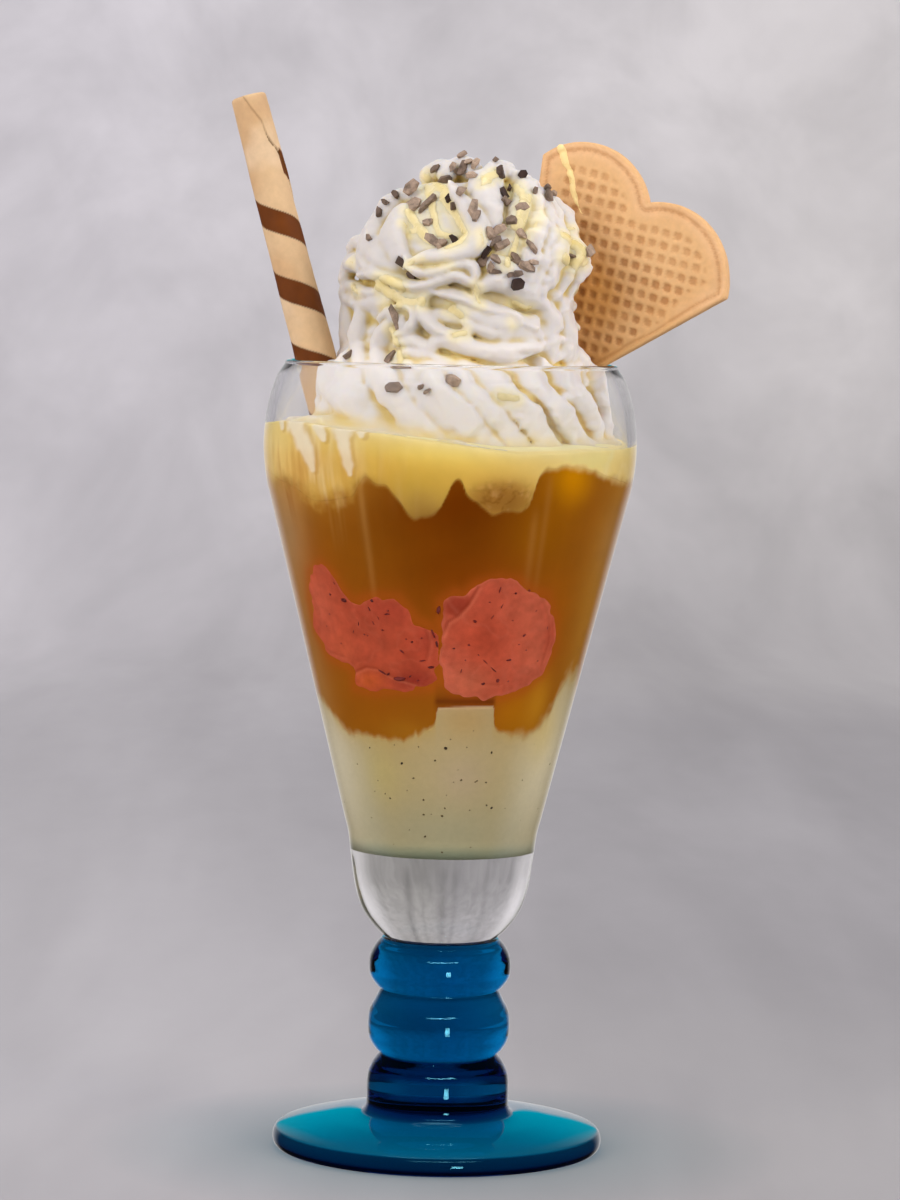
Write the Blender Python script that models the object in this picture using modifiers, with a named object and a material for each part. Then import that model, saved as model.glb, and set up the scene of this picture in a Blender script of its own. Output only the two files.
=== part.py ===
# Ice cream sundae served in a footed glass.
# Units are metres, +Z is up. The origin is the centre of the underside of the foot, on the table.
# The contents are stacked the way the dessert is filled: vanilla ice cream, two strawberry scoops in
# amber fruit sauce, a layer of yellow custard sauce, a piped swirl of whipped cream, a striped rolled
# wafer and a heart-shaped wafer. Everything that touches keeps a gap of GAP.
import math

import bmesh
import bpy
import numpy as np
from mathutils import Vector

MM = 0.001

# ---------------------------------------------------------------- driving dimensions (millimetres)
GAP = 0.3                     # clearance between neighbouring pieces

GLASS_HEIGHT = 190.4          # top of the rim
RIM_BEAD = 0.95               # radius of the rounded lip
RIM_RADIUS = 39.15            # centre line of the lip
TAPER_TOP = (42.7, 156.3)     # radius, height where the straight cone ends
TAPER_FOOT = (22.8, 76.6)     # radius, height where the straight cone starts
BELLY = [(44.1, 162.1), (44.85, 169.5), (44.45, 176.5), (43.5, 181.5), (42.0, 186.2)]
BASE = [(22.0, 70.5), (20.9, 63.7), (19.2, 58.4), (16.5, 54.4), (13.9, 51.75)]
FLOOR_Z = 72.8                # inner floor of the bowl
WALL_LOW, WALL_MID, WALL_TOP = 3.0, 2.2, 1.95
STEM_TOP = 51.45              # where the coloured stem is fused to the clear bowl
# radius and height down the stem: three rings, then the foot
STEM = [(13.8, 51.45), (15.6, 49.4), (17.0, 46.4), (17.0, 42.4), (15.5, 39.8), (14.25, 38.7),
        (15.4, 36.3), (17.0, 32.8), (17.05, 27.6), (15.7, 24.6), (14.1, 23.0),
        (15.9, 20.6), (17.1, 17.2), (17.2, 11.9), (18.6, 10.5), (20.6, 9.5)]
FOOT = [(27.0, 8.1), (34.0, 6.3), (38.0, 5.0), (39.4, 3.6), (39.8, 2.2), (39.2, 0.7), (38.0, 0.0)]

AZ_FRONT, AZ_BACK = 6.0, 14.0     # degrees between the columns of the filling, seen side and hidden side

VANILLA_LEVEL = 103.0
VANILLA_RISE = [(70.0, 20.0, 14.0), (-75.0, 18.0, 6.0), (150.0, 50.0, 5.0), (-8.0, 9.0, 1.5)]  # azimuth, width, height
BLOCK_AZ = (-3.4, 23.0)           # a flat-topped block of vanilla stands up against the glass here
BLOCK_TOP = 110.3
BLOCK_DEPTH = 0.55                # it reaches in to this fraction of the radius

CUSTARD_TOP, CUSTARD_TILT = 172.6, 2.6
CUSTARD_UNDER = 163.2
CUSTARD_DRIPS = [(-82.0, 12.0, 1.0), (-45.0, 12.0, -5.0), (-25.0, 5.0, 2.0), (-8.0, 7.5, -9.0), (19.0, 9.0, -7.5),
                 (38.0, 12.0, 4.2), (75.0, 14.0, -1.2), (135.0, 14.0, -4.5), (175.0, 16.0, -6.0), (-130.0, 15.0, -5.0)]

# strawberry scoops pressed against the glass: centre (azimuth, height), depth, outline (azimuth, height)
SCOOP_LEFT = dict(centre=(-34.0, 125.0), depth=24.0, outline=[
    (-3.3, 124.5), (-5.5, 129.3), (-12.0, 131.5), (-19.0, 136.0), (-27.0, 136.3), (-36.5, 135.0), (-44.0, 139.0),
    (-51.0, 143.0), (-60.0, 140.8), (-65.0, 133.5), (-64.5, 126.0), (-57.5, 120.6), (-46.0, 118.6), (-43.0, 113.3),
    (-32.5, 113.3), (-21.5, 113.7), (-8.0, 114.2), (-3.3, 118.2)])
SCOOP_RIGHT = dict(centre=(22.0, 126.0), depth=25.0, outline=[
    (49.5, 124.0), (46.5, 131.0), (39.5, 136.8), (32.5, 138.4), (26.0, 140.8), (18.3, 141.2), (11.0, 139.9),
    (5.0, 138.0), (0.5, 134.5), (-2.3, 127.5), (-2.3, 118.0), (4.0, 113.3), (15.0, 112.2), (25.0, 112.6),
    (36.0, 114.3), (45.4, 117.6)])

# whipped cream: turns, path radius, height, rope radius, centre x
CREAM_PATH = [(0.00, 22.0, 179.0, 13.2, 0.0), (1.00, 22.2, 180.0, 13.8, 0.3), (1.50, 19.0, 188.0, 13.4, 2.0),
              (2.00, 16.6, 199.5, 14.0, 3.2), (2.50, 16.8, 206.5, 14.0, 3.6), (3.00, 15.2, 214.0, 13.8, 3.8),
              (3.50, 12.2, 221.0, 12.6, 3.0), (4.00, 7.2, 227.5, 10.4, 1.8), (4.40, 2.0, 231.8, 7.8, 0.6)]
CREAM_CORE = [(182.0, 24.0), (196.0, 17.0), (210.0, 17.0), (222.0, 11.0)]   # height, radius
CREAM_DEPTH = 0.87            # the swirl is this much shallower than wide inside the glass
FLUTES, FLUTE_DEPTH, FLUTE_TWIST = 8, 0.17, 250.0
CREAM_VOXEL = 1.25
CREAM_FACES = 2200

# rolled wafer: axis from the buried end to the top, then the sheet
ROLL_LOW, ROLL_HIGH = (-28.6, -2.6, 177.0), (-50.1, 0.6, 253.0)
ROLL_RADIUS_LOW, ROLL_RADIUS_HIGH = 5.2, 4.45
ROLL_BORE = 1.95
ROLL_SEAM = 0.45              # step where the outer end of the sheet stops
ROLL_SEAM_PITCH = 110.0

# heart wafer
HEART_CENTRE = (39.3, 3.0, 217.6)
HEART_LOBE, HEART_HALF, HEART_LENGTH = 19.2, 12.9, 49.8
HEART_CORNER, HEART_TIP = 23.0, 11.0
HEART_THICK, HEART_RIM, HEART_RAISED = 2.5, 1.6, 0.45
HEART_TURN, HEART_LEAN, HEART_YAW = 33.9, 3.7, 29.1

COLOURS = {   # base colour, roughness, transmission
    "glass_bowl": ((0.92, 0.95, 0.96), 0.03, 1.0),
    "glass_stem": ((0.00, 0.18, 0.36), 0.05, 0.6),
    "vanilla_ice_cream": ((0.56, 0.49, 0.25), 0.55, 0.0),
    "amber_sauce": ((0.26, 0.10, 0.01), 0.35, 0.0),
    "strawberry_scoop_left": ((0.55, 0.13, 0.09), 0.55, 0.0),
    "strawberry_scoop_right": ((0.55, 0.13, 0.09), 0.55, 0.0),
    "custard_sauce": ((0.72, 0.50, 0.13), 0.35, 0.0),
    "whipped_cream": ((0.86, 0.82, 0.72), 0.45, 0.0),
    "wafer_roll": ((0.68, 0.43, 0.22), 0.6, 0.0),
    "heart_wafer": ((0.64, 0.38, 0.17), 0.6, 0.0),
}


# ---------------------------------------------------------------- small helpers
def collection(name):
    made = bpy.data.collections.new(name)
    bpy.context.scene.collection.children.link(made)
    return made


for old in list(bpy.data.objects):
    bpy.data.objects.remove(old, do_unlink=True)
PARTS = collection("ice_cream_sundae")
CUTTERS = collection("cutters")
FRAME = bpy.data.objects.new("sundae_frame", None)
FRAME.empty_display_size = 0.03
CUTTERS.objects.link(FRAME)


def material(name):
    colour, rough, clear = COLOURS[name]
    made = bpy.data.materials.new(name)
    made.use_nodes = True
    shader = made.node_tree.nodes["Principled BSDF"]
    shader.inputs["Base Color"].default_value = (*colour, 1.0)
    shader.inputs["Roughness"].default_value = rough
    shader.inputs["Metallic"].default_value = 0.0
    shader.inputs["Transmission Weight"].default_value = clear
    made.diffuse_color = (*colour, 1.0)
    return made


def add_mesh(name, mesh, where=None, part=True):
    made = bpy.data.objects.new(name, mesh)
    (where or (PARTS if part else CUTTERS)).objects.link(made)
    if part:
        mesh.materials.clear()
        mesh.materials.append(material(name))
        made.parent = FRAME
    else:
        made.hide_render = True
        made.display_type = "WIRE"
    return made


def from_bmesh(name, bm, part=True, smooth=True):
    bmesh.ops.recalc_face_normals(bm, faces=bm.faces)
    mesh = bpy.data.meshes.new(name)
    bm.to_mesh(mesh)
    bm.free()
    if smooth:
        mesh.shade_smooth()
        mesh.set_sharp_from_angle(angle=math.radians(38))
    return add_mesh(name, mesh, part=part)


def catmull(points, steps, closed=False):
    """Points along a smooth curve through the given ones."""
    pts = [np.array(p, float) for p in points]
    n = len(pts)
    out = []
    last = n if closed else n - 1
    for i in range(last):
        if closed:
            a, b, c, d = pts[i - 1], pts[i], pts[(i + 1) % n], pts[(i + 2) % n]
        else:
            a, b, c, d = pts[max(i - 1, 0)], pts[i], pts[i + 1], pts[min(i + 2, n - 1)]
        for k in range(steps):
            t = k / steps
            out.append(0.5 * ((2 * b) + (c - a) * t + (2 * a - 5 * b + 4 * c - d) * t * t
                              + (3 * b - a - 3 * c + d) * t ** 3))
    if not closed:
        out.append(pts[-1])
    return out


def turned(name, profile, steps, part=True):
    """A turned shape: the profile (radius, height) goes down its outer side and is screwed about Z."""
    bm = bmesh.new()
    made = [bm.verts.new((r * MM, 0.0, z * MM)) for r, z in profile]
    for a, b in zip(made, made[1:]):
        bm.edges.new((a, b))
    mesh = bpy.data.meshes.new(name)
    bm.to_mesh(mesh)
    bm.free()
    obj = add_mesh(name, mesh, part=part)
    mod = obj.modifiers.new("turn", "SCREW")
    mod.axis = "Z"
    mod.angle = 2 * math.pi
    mod.steps = mod.render_steps = steps
    mod.use_merge_vertices = True
    mod.merge_threshold = 0.00001
    mod.use_smooth_shade = True
    return obj


def subtract(obj, cutter):
    mod = obj.modifiers.new("cut_" + cutter.name, "BOOLEAN")
    mod.operation = "DIFFERENCE"
    mod.solver = "EXACT"
    mod.object = cutter
    return mod


# ---------------------------------------------------------------- glass
def outer_profile():
    """Outside of the bowl from under the lip down to the fused base."""
    belly = catmull([TAPER_TOP] + BELLY + [(RIM_RADIUS + RIM_BEAD, GLASS_HEIGHT - RIM_BEAD)], 1)
    return [tuple(p) for p in belly[::-1]] + [TAPER_FOOT] + BASE


OUTER = outer_profile()


def outer_radius(z):
    zs = [p[1] for p in OUTER][::-1]
    rs = [p[0] for p in OUTER][::-1]
    return float(np.interp(z, zs, rs))


def inner_radius(z):
    wall = np.interp(z, [78.0, 115.0, 165.0, 186.0], [WALL_LOW, WALL_MID, WALL_MID, WALL_TOP])
    return outer_radius(z) - float(wall)


def fill_radius(z):
    return inner_radius(z) - GAP


def glass_bowl():
    inner = [(0.0, FLOOR_Z), (inner_radius(FLOOR_Z + 4) - 4.2, FLOOR_Z), (inner_radius(FLOOR_Z + 4) - 1.2, FLOOR_Z + 1.1),
             (inner_radius(FLOOR_Z + 4), FLOOR_Z + 4.0)]
    inner += [(inner_radius(z), z) for z in (115.0, 156.3, 163.0, 169.5, 178.0, 186.2)]
    lip = [(RIM_RADIUS + RIM_BEAD * math.cos(a), GLASS_HEIGHT - RIM_BEAD + RIM_BEAD * math.sin(a))
           for a in np.radians([180, 120, 60, 0])]
    down = [p for p in OUTER if p[1] < GLASS_HEIGHT - RIM_BEAD - 0.2]
    bottom = [(11.9, STEM_TOP + GAP), (0.0, STEM_TOP + GAP)]
    down[-1] = (13.8, STEM_TOP + GAP + 0.6)
    return turned("glass_bowl", inner + lip + down + bottom, 36)


def glass_stem():
    profile = [(0.0, STEM_TOP)] + [(STEM[0][0] - 1.6, STEM_TOP)] + [(STEM[0][0], STEM_TOP - 0.5)]
    profile += STEM[1:] + FOOT + [(0.0, 0.0)]
    return turned("glass_stem", profile, 36)


# ---------------------------------------------------------------- layers in the bowl
def bump(az, centre, width):
    d = (az - centre + 180.0) % 360.0 - 180.0
    return math.exp(-(d / width) ** 2)


def azimuths():
    """Columns round the filling, closer on the seen side and at the sides of the vanilla block."""
    seen = list(np.arange(-96.0, 96.1, AZ_FRONT))
    back = list(np.arange(96.0 + AZ_BACK, 264.0 - 1.0, AZ_BACK))
    edge = [BLOCK_AZ[0] - 1.6, BLOCK_AZ[0] + 0.4, BLOCK_AZ[1] - 0.4, BLOCK_AZ[1] + 1.6]
    keep = [a for a in seen if min(abs(a - e) for e in edge) > 1.2]
    return sorted(keep + edge + back)


AZ = azimuths()


def vanilla_top(az, f):
    edge = VANILLA_LEVEL + sum(h * bump(az, c, w) for c, w, h in VANILLA_RISE)
    z = VANILLA_LEVEL + 2.5 + (edge - VANILLA_LEVEL - 2.5) * f ** 2
    if BLOCK_AZ[0] <= az <= BLOCK_AZ[1] and f > BLOCK_DEPTH:
        z = BLOCK_TOP
    return z


def custard_under(az, f):
    edge = CUSTARD_UNDER + sum(h * bump(az, c, w) for c, w, h in CUSTARD_DRIPS)
    return CUSTARD_UNDER + (edge - CUSTARD_UNDER) * f ** 4


def custard_top(az, f):
    return CUSTARD_TOP - f * CUSTARD_TILT * math.sin(math.radians(az)) + 0.6 * f * math.sin(math.radians(3 * az + 40))


def place(az, r, z):
    a = math.radians(az)
    return (r * math.sin(a) * MM, -r * math.cos(a) * MM, z * MM)


RINGS = {vanilla_top: [1.0, BLOCK_DEPTH + 0.03, BLOCK_DEPTH - 0.03, 0.26, 0.0],
         custard_under: [1.0, 0.7, 0.0], custard_top: [1.0, 0.6, 0.0]}


def surface_grid(bm, height, shift):
    """Rings of vertices over one boundary, outermost first, triangulated the same way each time."""
    rings = []
    for f in RINGS.get(height, [1.0, 0.0]):
        if f == 0.0:
            z = sum(height(a, 0.0) for a in AZ) / len(AZ)
            rings.append([bm.verts.new((0.0, 0.0, (z + shift) * MM))])
            continue
        ring = []
        for a in AZ:
            r = f * fill_radius(height(a, 1.0))
            ring.append(bm.verts.new(place(a, r, height(a, f) + shift)))
        rings.append(ring)
    n = len(AZ)
    for a, b in zip(rings, rings[1:]):
        for i in range(n):
            j = (i + 1) % n
            if len(b) == 1:
                bm.faces.new((a[i], a[j], b[0]))
            else:
                bm.faces.new((a[i], a[j], b[j]))
                bm.faces.new((a[i], b[j], b[i]))
    return rings[0]


def wall_rows(bm, low, high, low_z, high_z, rows):
    """The side against the glass, between two outer rings."""
    n = len(AZ)
    grid = [low]
    for k in range(1, rows):
        t = k / rows
        grid.append([bm.verts.new(place(a, fill_radius(low_z[i] + (high_z[i] - low_z[i]) * t),
                                        low_z[i] + (high_z[i] - low_z[i]) * t)) for i, a in enumerate(AZ)])
    grid.append(high)
    for a, b in zip(grid, grid[1:]):
        for i in range(n):
            j = (i + 1) % n
            bm.faces.new((a[i], a[j], b[j]))
            bm.faces.new((a[i], b[j], b[i]))


def layer(name, under, top, rows, part=True):
    bm = bmesh.new()
    low = surface_grid(bm, under, GAP / 2)
    high = surface_grid(bm, top, -GAP / 2)
    wall_rows(bm, low, high, [under(a, 1.0) + GAP / 2 for a in AZ], [top(a, 1.0) - GAP / 2 for a in AZ], rows)
    return from_bmesh(name, bm, part=part)


def vanilla():
    """Vanilla ice cream fills the foot of the bowl, with rounded corners on the glass floor."""
    bm = bmesh.new()
    high = surface_grid(bm, vanilla_top, -GAP / 2)
    z0 = FLOOR_Z + GAP
    corner = [(fill_radius(z0 + 3.7) - 4.2, z0), (fill_radius(z0 + 3.7) - 1.2, z0 + 1.1), (fill_radius(z0 + 3.7), z0 + 3.7)]
    rings = [[bm.verts.new(place(a, r, z)) for a in AZ] for r, z in corner]
    centre = bm.verts.new((0.0, 0.0, z0 * MM))
    n = len(AZ)
    for i in range(n):
        j = (i + 1) % n
        bm.faces.new((centre, rings[0][i], rings[0][j]))
        for a, b in zip(rings, rings[1:]):
            bm.faces.new((a[i], a[j], b[j], b[i]))
    wall_rows(bm, rings[-1], high, [z0 + 3.7] * n, [vanilla_top(a, 1.0) - GAP / 2 for a in AZ], 1)
    return from_bmesh("vanilla_ice_cream", bm)


def scoop(name, spec, part=True, grow=0.0):
    """A ball of ice cream pressed flat on the glass: its outline shrinks towards a pole inside the bowl."""
    ca, cz = spec["centre"]
    depth = spec["depth"]
    outline = catmull(spec["outline"], 2, closed=True)
    stretch = 1.0 + grow / 13.0
    outline = [(ca + (a - ca) * stretch, cz + (z - cz) * stretch) for a, z in outline]
    n = len(outline)
    bm = bmesh.new()

    def ring(scale, d):
        return [bm.verts.new(place(ca + (a - ca) * scale, fill_radius(cz + (z - cz) * scale) - d,
                                   cz + (z - cz) * scale)) for a, z in outline]

    face_out = -3.0 if grow else 0.0
    pole_out = bm.verts.new(place(ca, fill_radius(cz) - face_out, cz))
    pole_in = bm.verts.new(place(ca, fill_radius(cz) - depth - grow, cz))
    rings = [ring(0.5, face_out), ring(1.0, face_out)]
    if grow:
        rings.append(ring(1.0, 0.0))
    for t in np.radians([26, 52, 73]):
        rings.append(ring(math.cos(t) ** 0.6, (depth + grow) * math.sin(t)))
    for i in range(n):
        j = (i + 1) % n
        bm.faces.new((pole_out, rings[0][i], rings[0][j]))
        bm.faces.new((pole_in, rings[-1][j], rings[-1][i]))
        for a, b in zip(rings, rings[1:]):
            bm.faces.new((a[i], b[i], b[j]))
            bm.faces.new((a[i], b[j], a[j]))
    return from_bmesh(name, bm, part=part)


# ---------------------------------------------------------------- whipped cream
def knots(t, column):
    ts = [k[0] for k in CREAM_PATH]
    vs = [k[column] for k in CREAM_PATH]
    i = int(np.clip(np.searchsorted(ts, t) - 1, 0, len(ts) - 2))
    u = (t - ts[i]) / (ts[i + 1] - ts[i])
    u = u * u * (3 - 2 * u) * 0.4 + u * 0.6
    return vs[i] + (vs[i + 1] - vs[i]) * u


def cream_point(t):
    r, z, x0 = knots(t, 1), knots(t, 2), knots(t, 4)
    a = math.radians(360.0 * t + 200.0)
    shallow = np.interp(z, [186.0, 197.0], [CREAM_DEPTH, 1.0])
    return ((x0 + r * math.cos(a)) * MM, r * shallow * math.sin(a) * MM, z * MM)


def star_profile():
    """Section of the nozzle: rounded ridges with narrow valleys, for a rope of radius 1."""
    data = bpy.data.curves.new("nozzle", "CURVE")
    data.dimensions = "2D"
    spline = data.splines.new("POLY")
    count = FLUTES * 6
    spline.points.add(count - 1)
    for i in range(count):
        a = 2 * math.pi * i / count
        r = 1.0 - FLUTE_DEPTH + 1.35 * FLUTE_DEPTH * abs(math.sin(FLUTES * a / 2)) ** 0.8
        spline.points[i].co = (r * math.cos(a) * MM, r * math.sin(a) * MM, 0.0, 1.0)
    spline.use_cyclic_u = True
    made = bpy.data.objects.new("nozzle", data)
    CUTTERS.objects.link(made)
    made.hide_render = True
    return made


def cream_rope(nozzle):
    """The fluted rope laid by the nozzle, as one swept curve turned into a mesh."""
    data = bpy.data.curves.new("cream_rope", "CURVE")
    data.dimensions = "3D"
    data.twist_mode = "Z_UP"
    data.bevel_mode = "OBJECT"
    data.bevel_object = nozzle
    data.use_fill_caps = True
    spline = data.splines.new("POLY")
    count = 118
    spline.points.add(count - 1)
    for i in range(count):
        t = CREAM_PATH[-1][0] * i / (count - 1)
        p = spline.points[i]
        p.co = (*cream_point(t), 1.0)
        p.radius = knots(t, 3)
        p.tilt = math.radians(FLUTE_TWIST) * t
    rope = bpy.data.objects.new("cream_rope", data)
    CUTTERS.objects.link(rope)
    bpy.context.view_layer.update()
    mesh = bpy.data.meshes.new_from_object(rope.evaluated_get(bpy.context.evaluated_depsgraph_get()))
    bpy.data.objects.remove(rope, do_unlink=True)
    bm = bmesh.new()
    bm.from_mesh(mesh)
    bmesh.ops.remove_doubles(bm, verts=bm.verts, dist=0.000001)
    for z, r in CREAM_CORE:          # the middle of the swirl is filled
        made = bmesh.ops.create_uvsphere(bm, u_segments=24, v_segments=14, radius=r * MM)
        bmesh.ops.translate(bm, verts=made["verts"], vec=(4.0 * MM if z > 190 else 0.5 * MM, 0.0, z * MM))
        if z < 190:
            for v in made["verts"]:
                v.co.z = z * MM + (v.co.z - z * MM) * 0.6
    bm.to_mesh(mesh)
    bm.free()
    return mesh


def whipped_cream(nozzle, roll_cutter, heart_cutter, under_cutter):
    raw = add_mesh("cream_raw", cream_rope(nozzle), part=False)
    shell = raw.modifiers.new("fuse", "REMESH")
    shell.mode = "VOXEL"
    shell.voxel_size = CREAM_VOXEL * MM
    shell.adaptivity = 0.0
    shell.use_smooth_shade = True
    bpy.context.view_layer.update()
    fused = bpy.data.meshes.new_from_object(raw.evaluated_get(bpy.context.evaluated_depsgraph_get()))
    bm = bmesh.new()
    bm.from_mesh(fused)
    keep_largest(bm)
    bmesh.ops.triangulate(bm, faces=bm.faces)
    bm.to_mesh(fused)
    bm.free()
    light = add_mesh("cream_light", fused, part=False)
    thin = light.modifiers.new("thin", "DECIMATE")
    thin.decimate_type = "COLLAPSE"
    thin.ratio = min(1.0, CREAM_FACES / max(1, len(fused.polygons)))
    thin.use_collapse_triangulate = True
    bpy.context.view_layer.update()
    mesh = bpy.data.meshes.new_from_object(light.evaluated_get(bpy.context.evaluated_depsgraph_get()))
    bpy.data.objects.remove(raw, do_unlink=True)
    bpy.data.objects.remove(light, do_unlink=True)
    mesh.shade_smooth()
    cream = add_mesh("whipped_cream", mesh)
    subtract(cream, under_cutter)
    subtract(cream, roll_cutter)
    subtract(cream, heart_cutter)
    return cream


def keep_largest(bm):
    """Drops any closed bubble left inside the swirl."""
    left = set(bm.verts)
    islands = []
    while left:
        seed = left.pop()
        island, stack = [seed], [seed]
        while stack:
            v = stack.pop()
            for e in v.link_edges:
                o = e.other_vert(v)
                if o in left:
                    left.discard(o)
                    island.append(o)
                    stack.append(o)
        islands.append(island)
    islands.sort(key=len)
    for island in islands[:-1]:
        bmesh.ops.delete(bm, geom=island, context="VERTS")


# ---------------------------------------------------------------- wafers
def roll_section(radius, bore, steps, turn):
    """Outside of a rolled sheet: it grows round the axis and steps back at the seam."""
    out = []
    for i in range(steps):
        a = 2 * math.pi * i / steps
        out.append((a + turn, radius - ROLL_SEAM * (1.0 - i / (steps - 1.0))))
    return out, [(a, bore) for a, _ in out]


def wafer_roll(name, part=True, grow=0.0):
    low, high = Vector(ROLL_LOW), Vector(ROLL_HIGH)
    axis = (high - low).normalized()
    if grow:
        low = low - axis * (grow + 0.2)
        high = high + axis * 2.0
    side = axis.cross(Vector((0, 1, 0))).normalized()
    other = axis.cross(side)
    length = (high - low).length
    levels, steps = 7, 22
    bm = bmesh.new()
    outer, inner = [], []
    for k in range(levels):
        t = k / (levels - 1)
        s = length * t
        radius = ROLL_RADIUS_LOW + (ROLL_RADIUS_HIGH - ROLL_RADIUS_LOW) * t + grow
        turn = -2 * math.pi * s / ROLL_SEAM_PITCH
        section, hole = roll_section(radius, ROLL_BORE, steps, turn)
        if grow:
            section = [(a, radius) for a, _ in section]
        base = low + axis * s
        outer.append([bm.verts.new((base + (side * math.cos(a) + other * math.sin(a)) * r) * MM) for a, r in section])
        inner.append([bm.verts.new((base + (side * math.cos(a) + other * math.sin(a)) * r) * MM) for a, r in hole])
    for i in range(steps):
        j = (i + 1) % steps
        for k in range(levels - 1):
            for quad in ((outer[k][i], outer[k][j], outer[k + 1][j], outer[k + 1][i]),):
                bm.faces.new((quad[0], quad[1], quad[2]))
                bm.faces.new((quad[0], quad[2], quad[3]))
        if grow:
            continue
        bm.faces.new((inner[0][i], inner[-1][i], inner[-1][j]))
        bm.faces.new((inner[0][i], inner[-1][j], inner[0][j]))
        for k in (0, -1):
            bm.faces.new((outer[k][i], outer[k][j], inner[k][j], inner[k][i]))
    if grow:
        bm.faces.new(outer[0])
        bm.faces.new(outer[-1])
        for ring in inner:
            for v in ring:
                bm.verts.remove(v)
    else:
        for k in range(1, levels - 1):
            for v in inner[k]:
                bm.verts.remove(v)
    return from_bmesh(name, bm, part=part)


def heart_outline(inset=0.0):
    """Half outline of the heart: a lobe, a straight side from a blunt corner, a round tip; then mirrored."""
    r, c, length = HEART_LOBE - inset, HEART_HALF, HEART_LENGTH
    corner = (c + HEART_LOBE * math.cos(math.radians(HEART_CORNER)), HEART_LOBE * math.sin(math.radians(HEART_CORNER)))
    slope = math.atan2(corner[0], corner[1] + length)           # half angle of the tip
    nx, ny = math.cos(slope), -math.sin(slope)                   # outward normal of the straight side
    start = math.pi - math.acos(c / r)
    # the inset corner: the circle of radius r meets the side moved in by inset
    d = corner[0] * nx + corner[1] * ny - inset - c * nx
    end = math.atan2(ny, nx) + math.acos(max(-1.0, min(1.0, d / r)))
    arc = [(c + r * math.cos(a), r * math.sin(a)) for a in np.linspace(start, end, 17)]
    tip_r = HEART_TIP - inset
    tip_y = -length + HEART_TIP / math.sin(slope)
    tip = [(tip_r * math.cos(a), tip_y + tip_r * math.sin(a)) for a in np.linspace(-slope, -math.pi / 2, 7)]
    half = arc + tip
    other = [(-x, y) for x, y in half[::-1]]
    return half + other[1:-1]


def heart_frame():
    turn, lean, yaw = map(math.radians, (HEART_TURN, HEART_LEAN, HEART_YAW))

    def rotate(v):
        x, y, z = v
        y, z = y * math.cos(lean) + z * math.sin(lean), z * math.cos(lean) - y * math.sin(lean)
        return Vector((x * math.cos(yaw) + y * math.sin(yaw), -x * math.sin(yaw) + y * math.cos(yaw), z))

    up = rotate((math.sin(turn), 0, math.cos(turn)))
    side = rotate((math.cos(turn), 0, -math.sin(turn)))
    return Vector(HEART_CENTRE), side, up, up.cross(side)


def heart_wafer(name, part=True, grow=0.0):
    centre, side, up, back = heart_frame()
    if back.y < 0:
        back = -back
    bm = bmesh.new()

    def loop(points, depth):
        return [bm.verts.new((centre + side * u + up * v + back * depth) * MM) for u, v in points]

    half = HEART_THICK / 2
    if grow:
        rings = [loop(heart_outline(-grow), -half - grow), loop(heart_outline(-grow), half + grow)]
    else:
        bevel = 0.35
        rings = [loop(heart_outline(HEART_RIM + 0.4), -half + HEART_RAISED), loop(heart_outline(HEART_RIM), -half),
                 loop(heart_outline(bevel), -half), loop(heart_outline(0.0), -half + bevel),
                 loop(heart_outline(0.0), half - bevel), loop(heart_outline(bevel), half)]
    n = len(rings[0])
    for a, b in zip(rings, rings[1:]):
        for i in range(n):
            j = (i + 1) % n
            bm.faces.new((a[i], a[j], b[j], b[i]))
    bm.faces.new(rings[0])
    bm.faces.new(rings[-1][::-1])
    return from_bmesh(name, bm, part=part)


# ---------------------------------------------------------------- build
glass_bowl()
glass_stem()
vanilla()
left = scoop("strawberry_scoop_left", SCOOP_LEFT)
right = scoop("strawberry_scoop_right", SCOOP_RIGHT)
amber = layer("amber_sauce", vanilla_top, custard_under, 2)
for tag, spec in (("left", SCOOP_LEFT), ("right", SCOOP_RIGHT)):
    subtract(amber, scoop("room_for_scoop_" + tag, spec, part=False, grow=0.4))
layer("custard_sauce", custard_under, custard_top, 2)
under = layer("room_for_custard", lambda az, f: 120.0, custard_top, 1, part=False)
under.location.z = GAP * MM
under.scale = (1.06, 1.06, 1.0)
nozzle = star_profile()
wafer_roll("wafer_roll")
heart_wafer("heart_wafer")
whipped_cream(nozzle, wafer_roll("room_for_roll", part=False, grow=0.35),
              heart_wafer("room_for_heart", part=False, grow=0.35), under)
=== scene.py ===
# Looks of the ice cream sundae in its footed glass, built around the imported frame.
import math

import bpy
import numpy as np
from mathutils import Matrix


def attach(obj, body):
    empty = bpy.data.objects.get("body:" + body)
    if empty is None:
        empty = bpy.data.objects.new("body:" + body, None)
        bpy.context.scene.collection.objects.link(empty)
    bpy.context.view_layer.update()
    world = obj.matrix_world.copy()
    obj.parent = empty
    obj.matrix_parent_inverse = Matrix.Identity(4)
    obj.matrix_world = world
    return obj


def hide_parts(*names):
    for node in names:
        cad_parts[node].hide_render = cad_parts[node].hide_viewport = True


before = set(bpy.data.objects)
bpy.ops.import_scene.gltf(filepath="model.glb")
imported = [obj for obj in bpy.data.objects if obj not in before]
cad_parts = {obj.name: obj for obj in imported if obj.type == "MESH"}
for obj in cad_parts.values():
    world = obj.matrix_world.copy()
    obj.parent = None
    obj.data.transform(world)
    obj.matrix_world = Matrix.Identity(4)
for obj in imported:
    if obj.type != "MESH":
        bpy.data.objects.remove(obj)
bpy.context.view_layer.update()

import openvdb
from mathutils import Matrix, Vector
from mathutils.bvhtree import BVHTree

MM = 0.001
RNG = np.random.RandomState(20260611)

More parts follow.
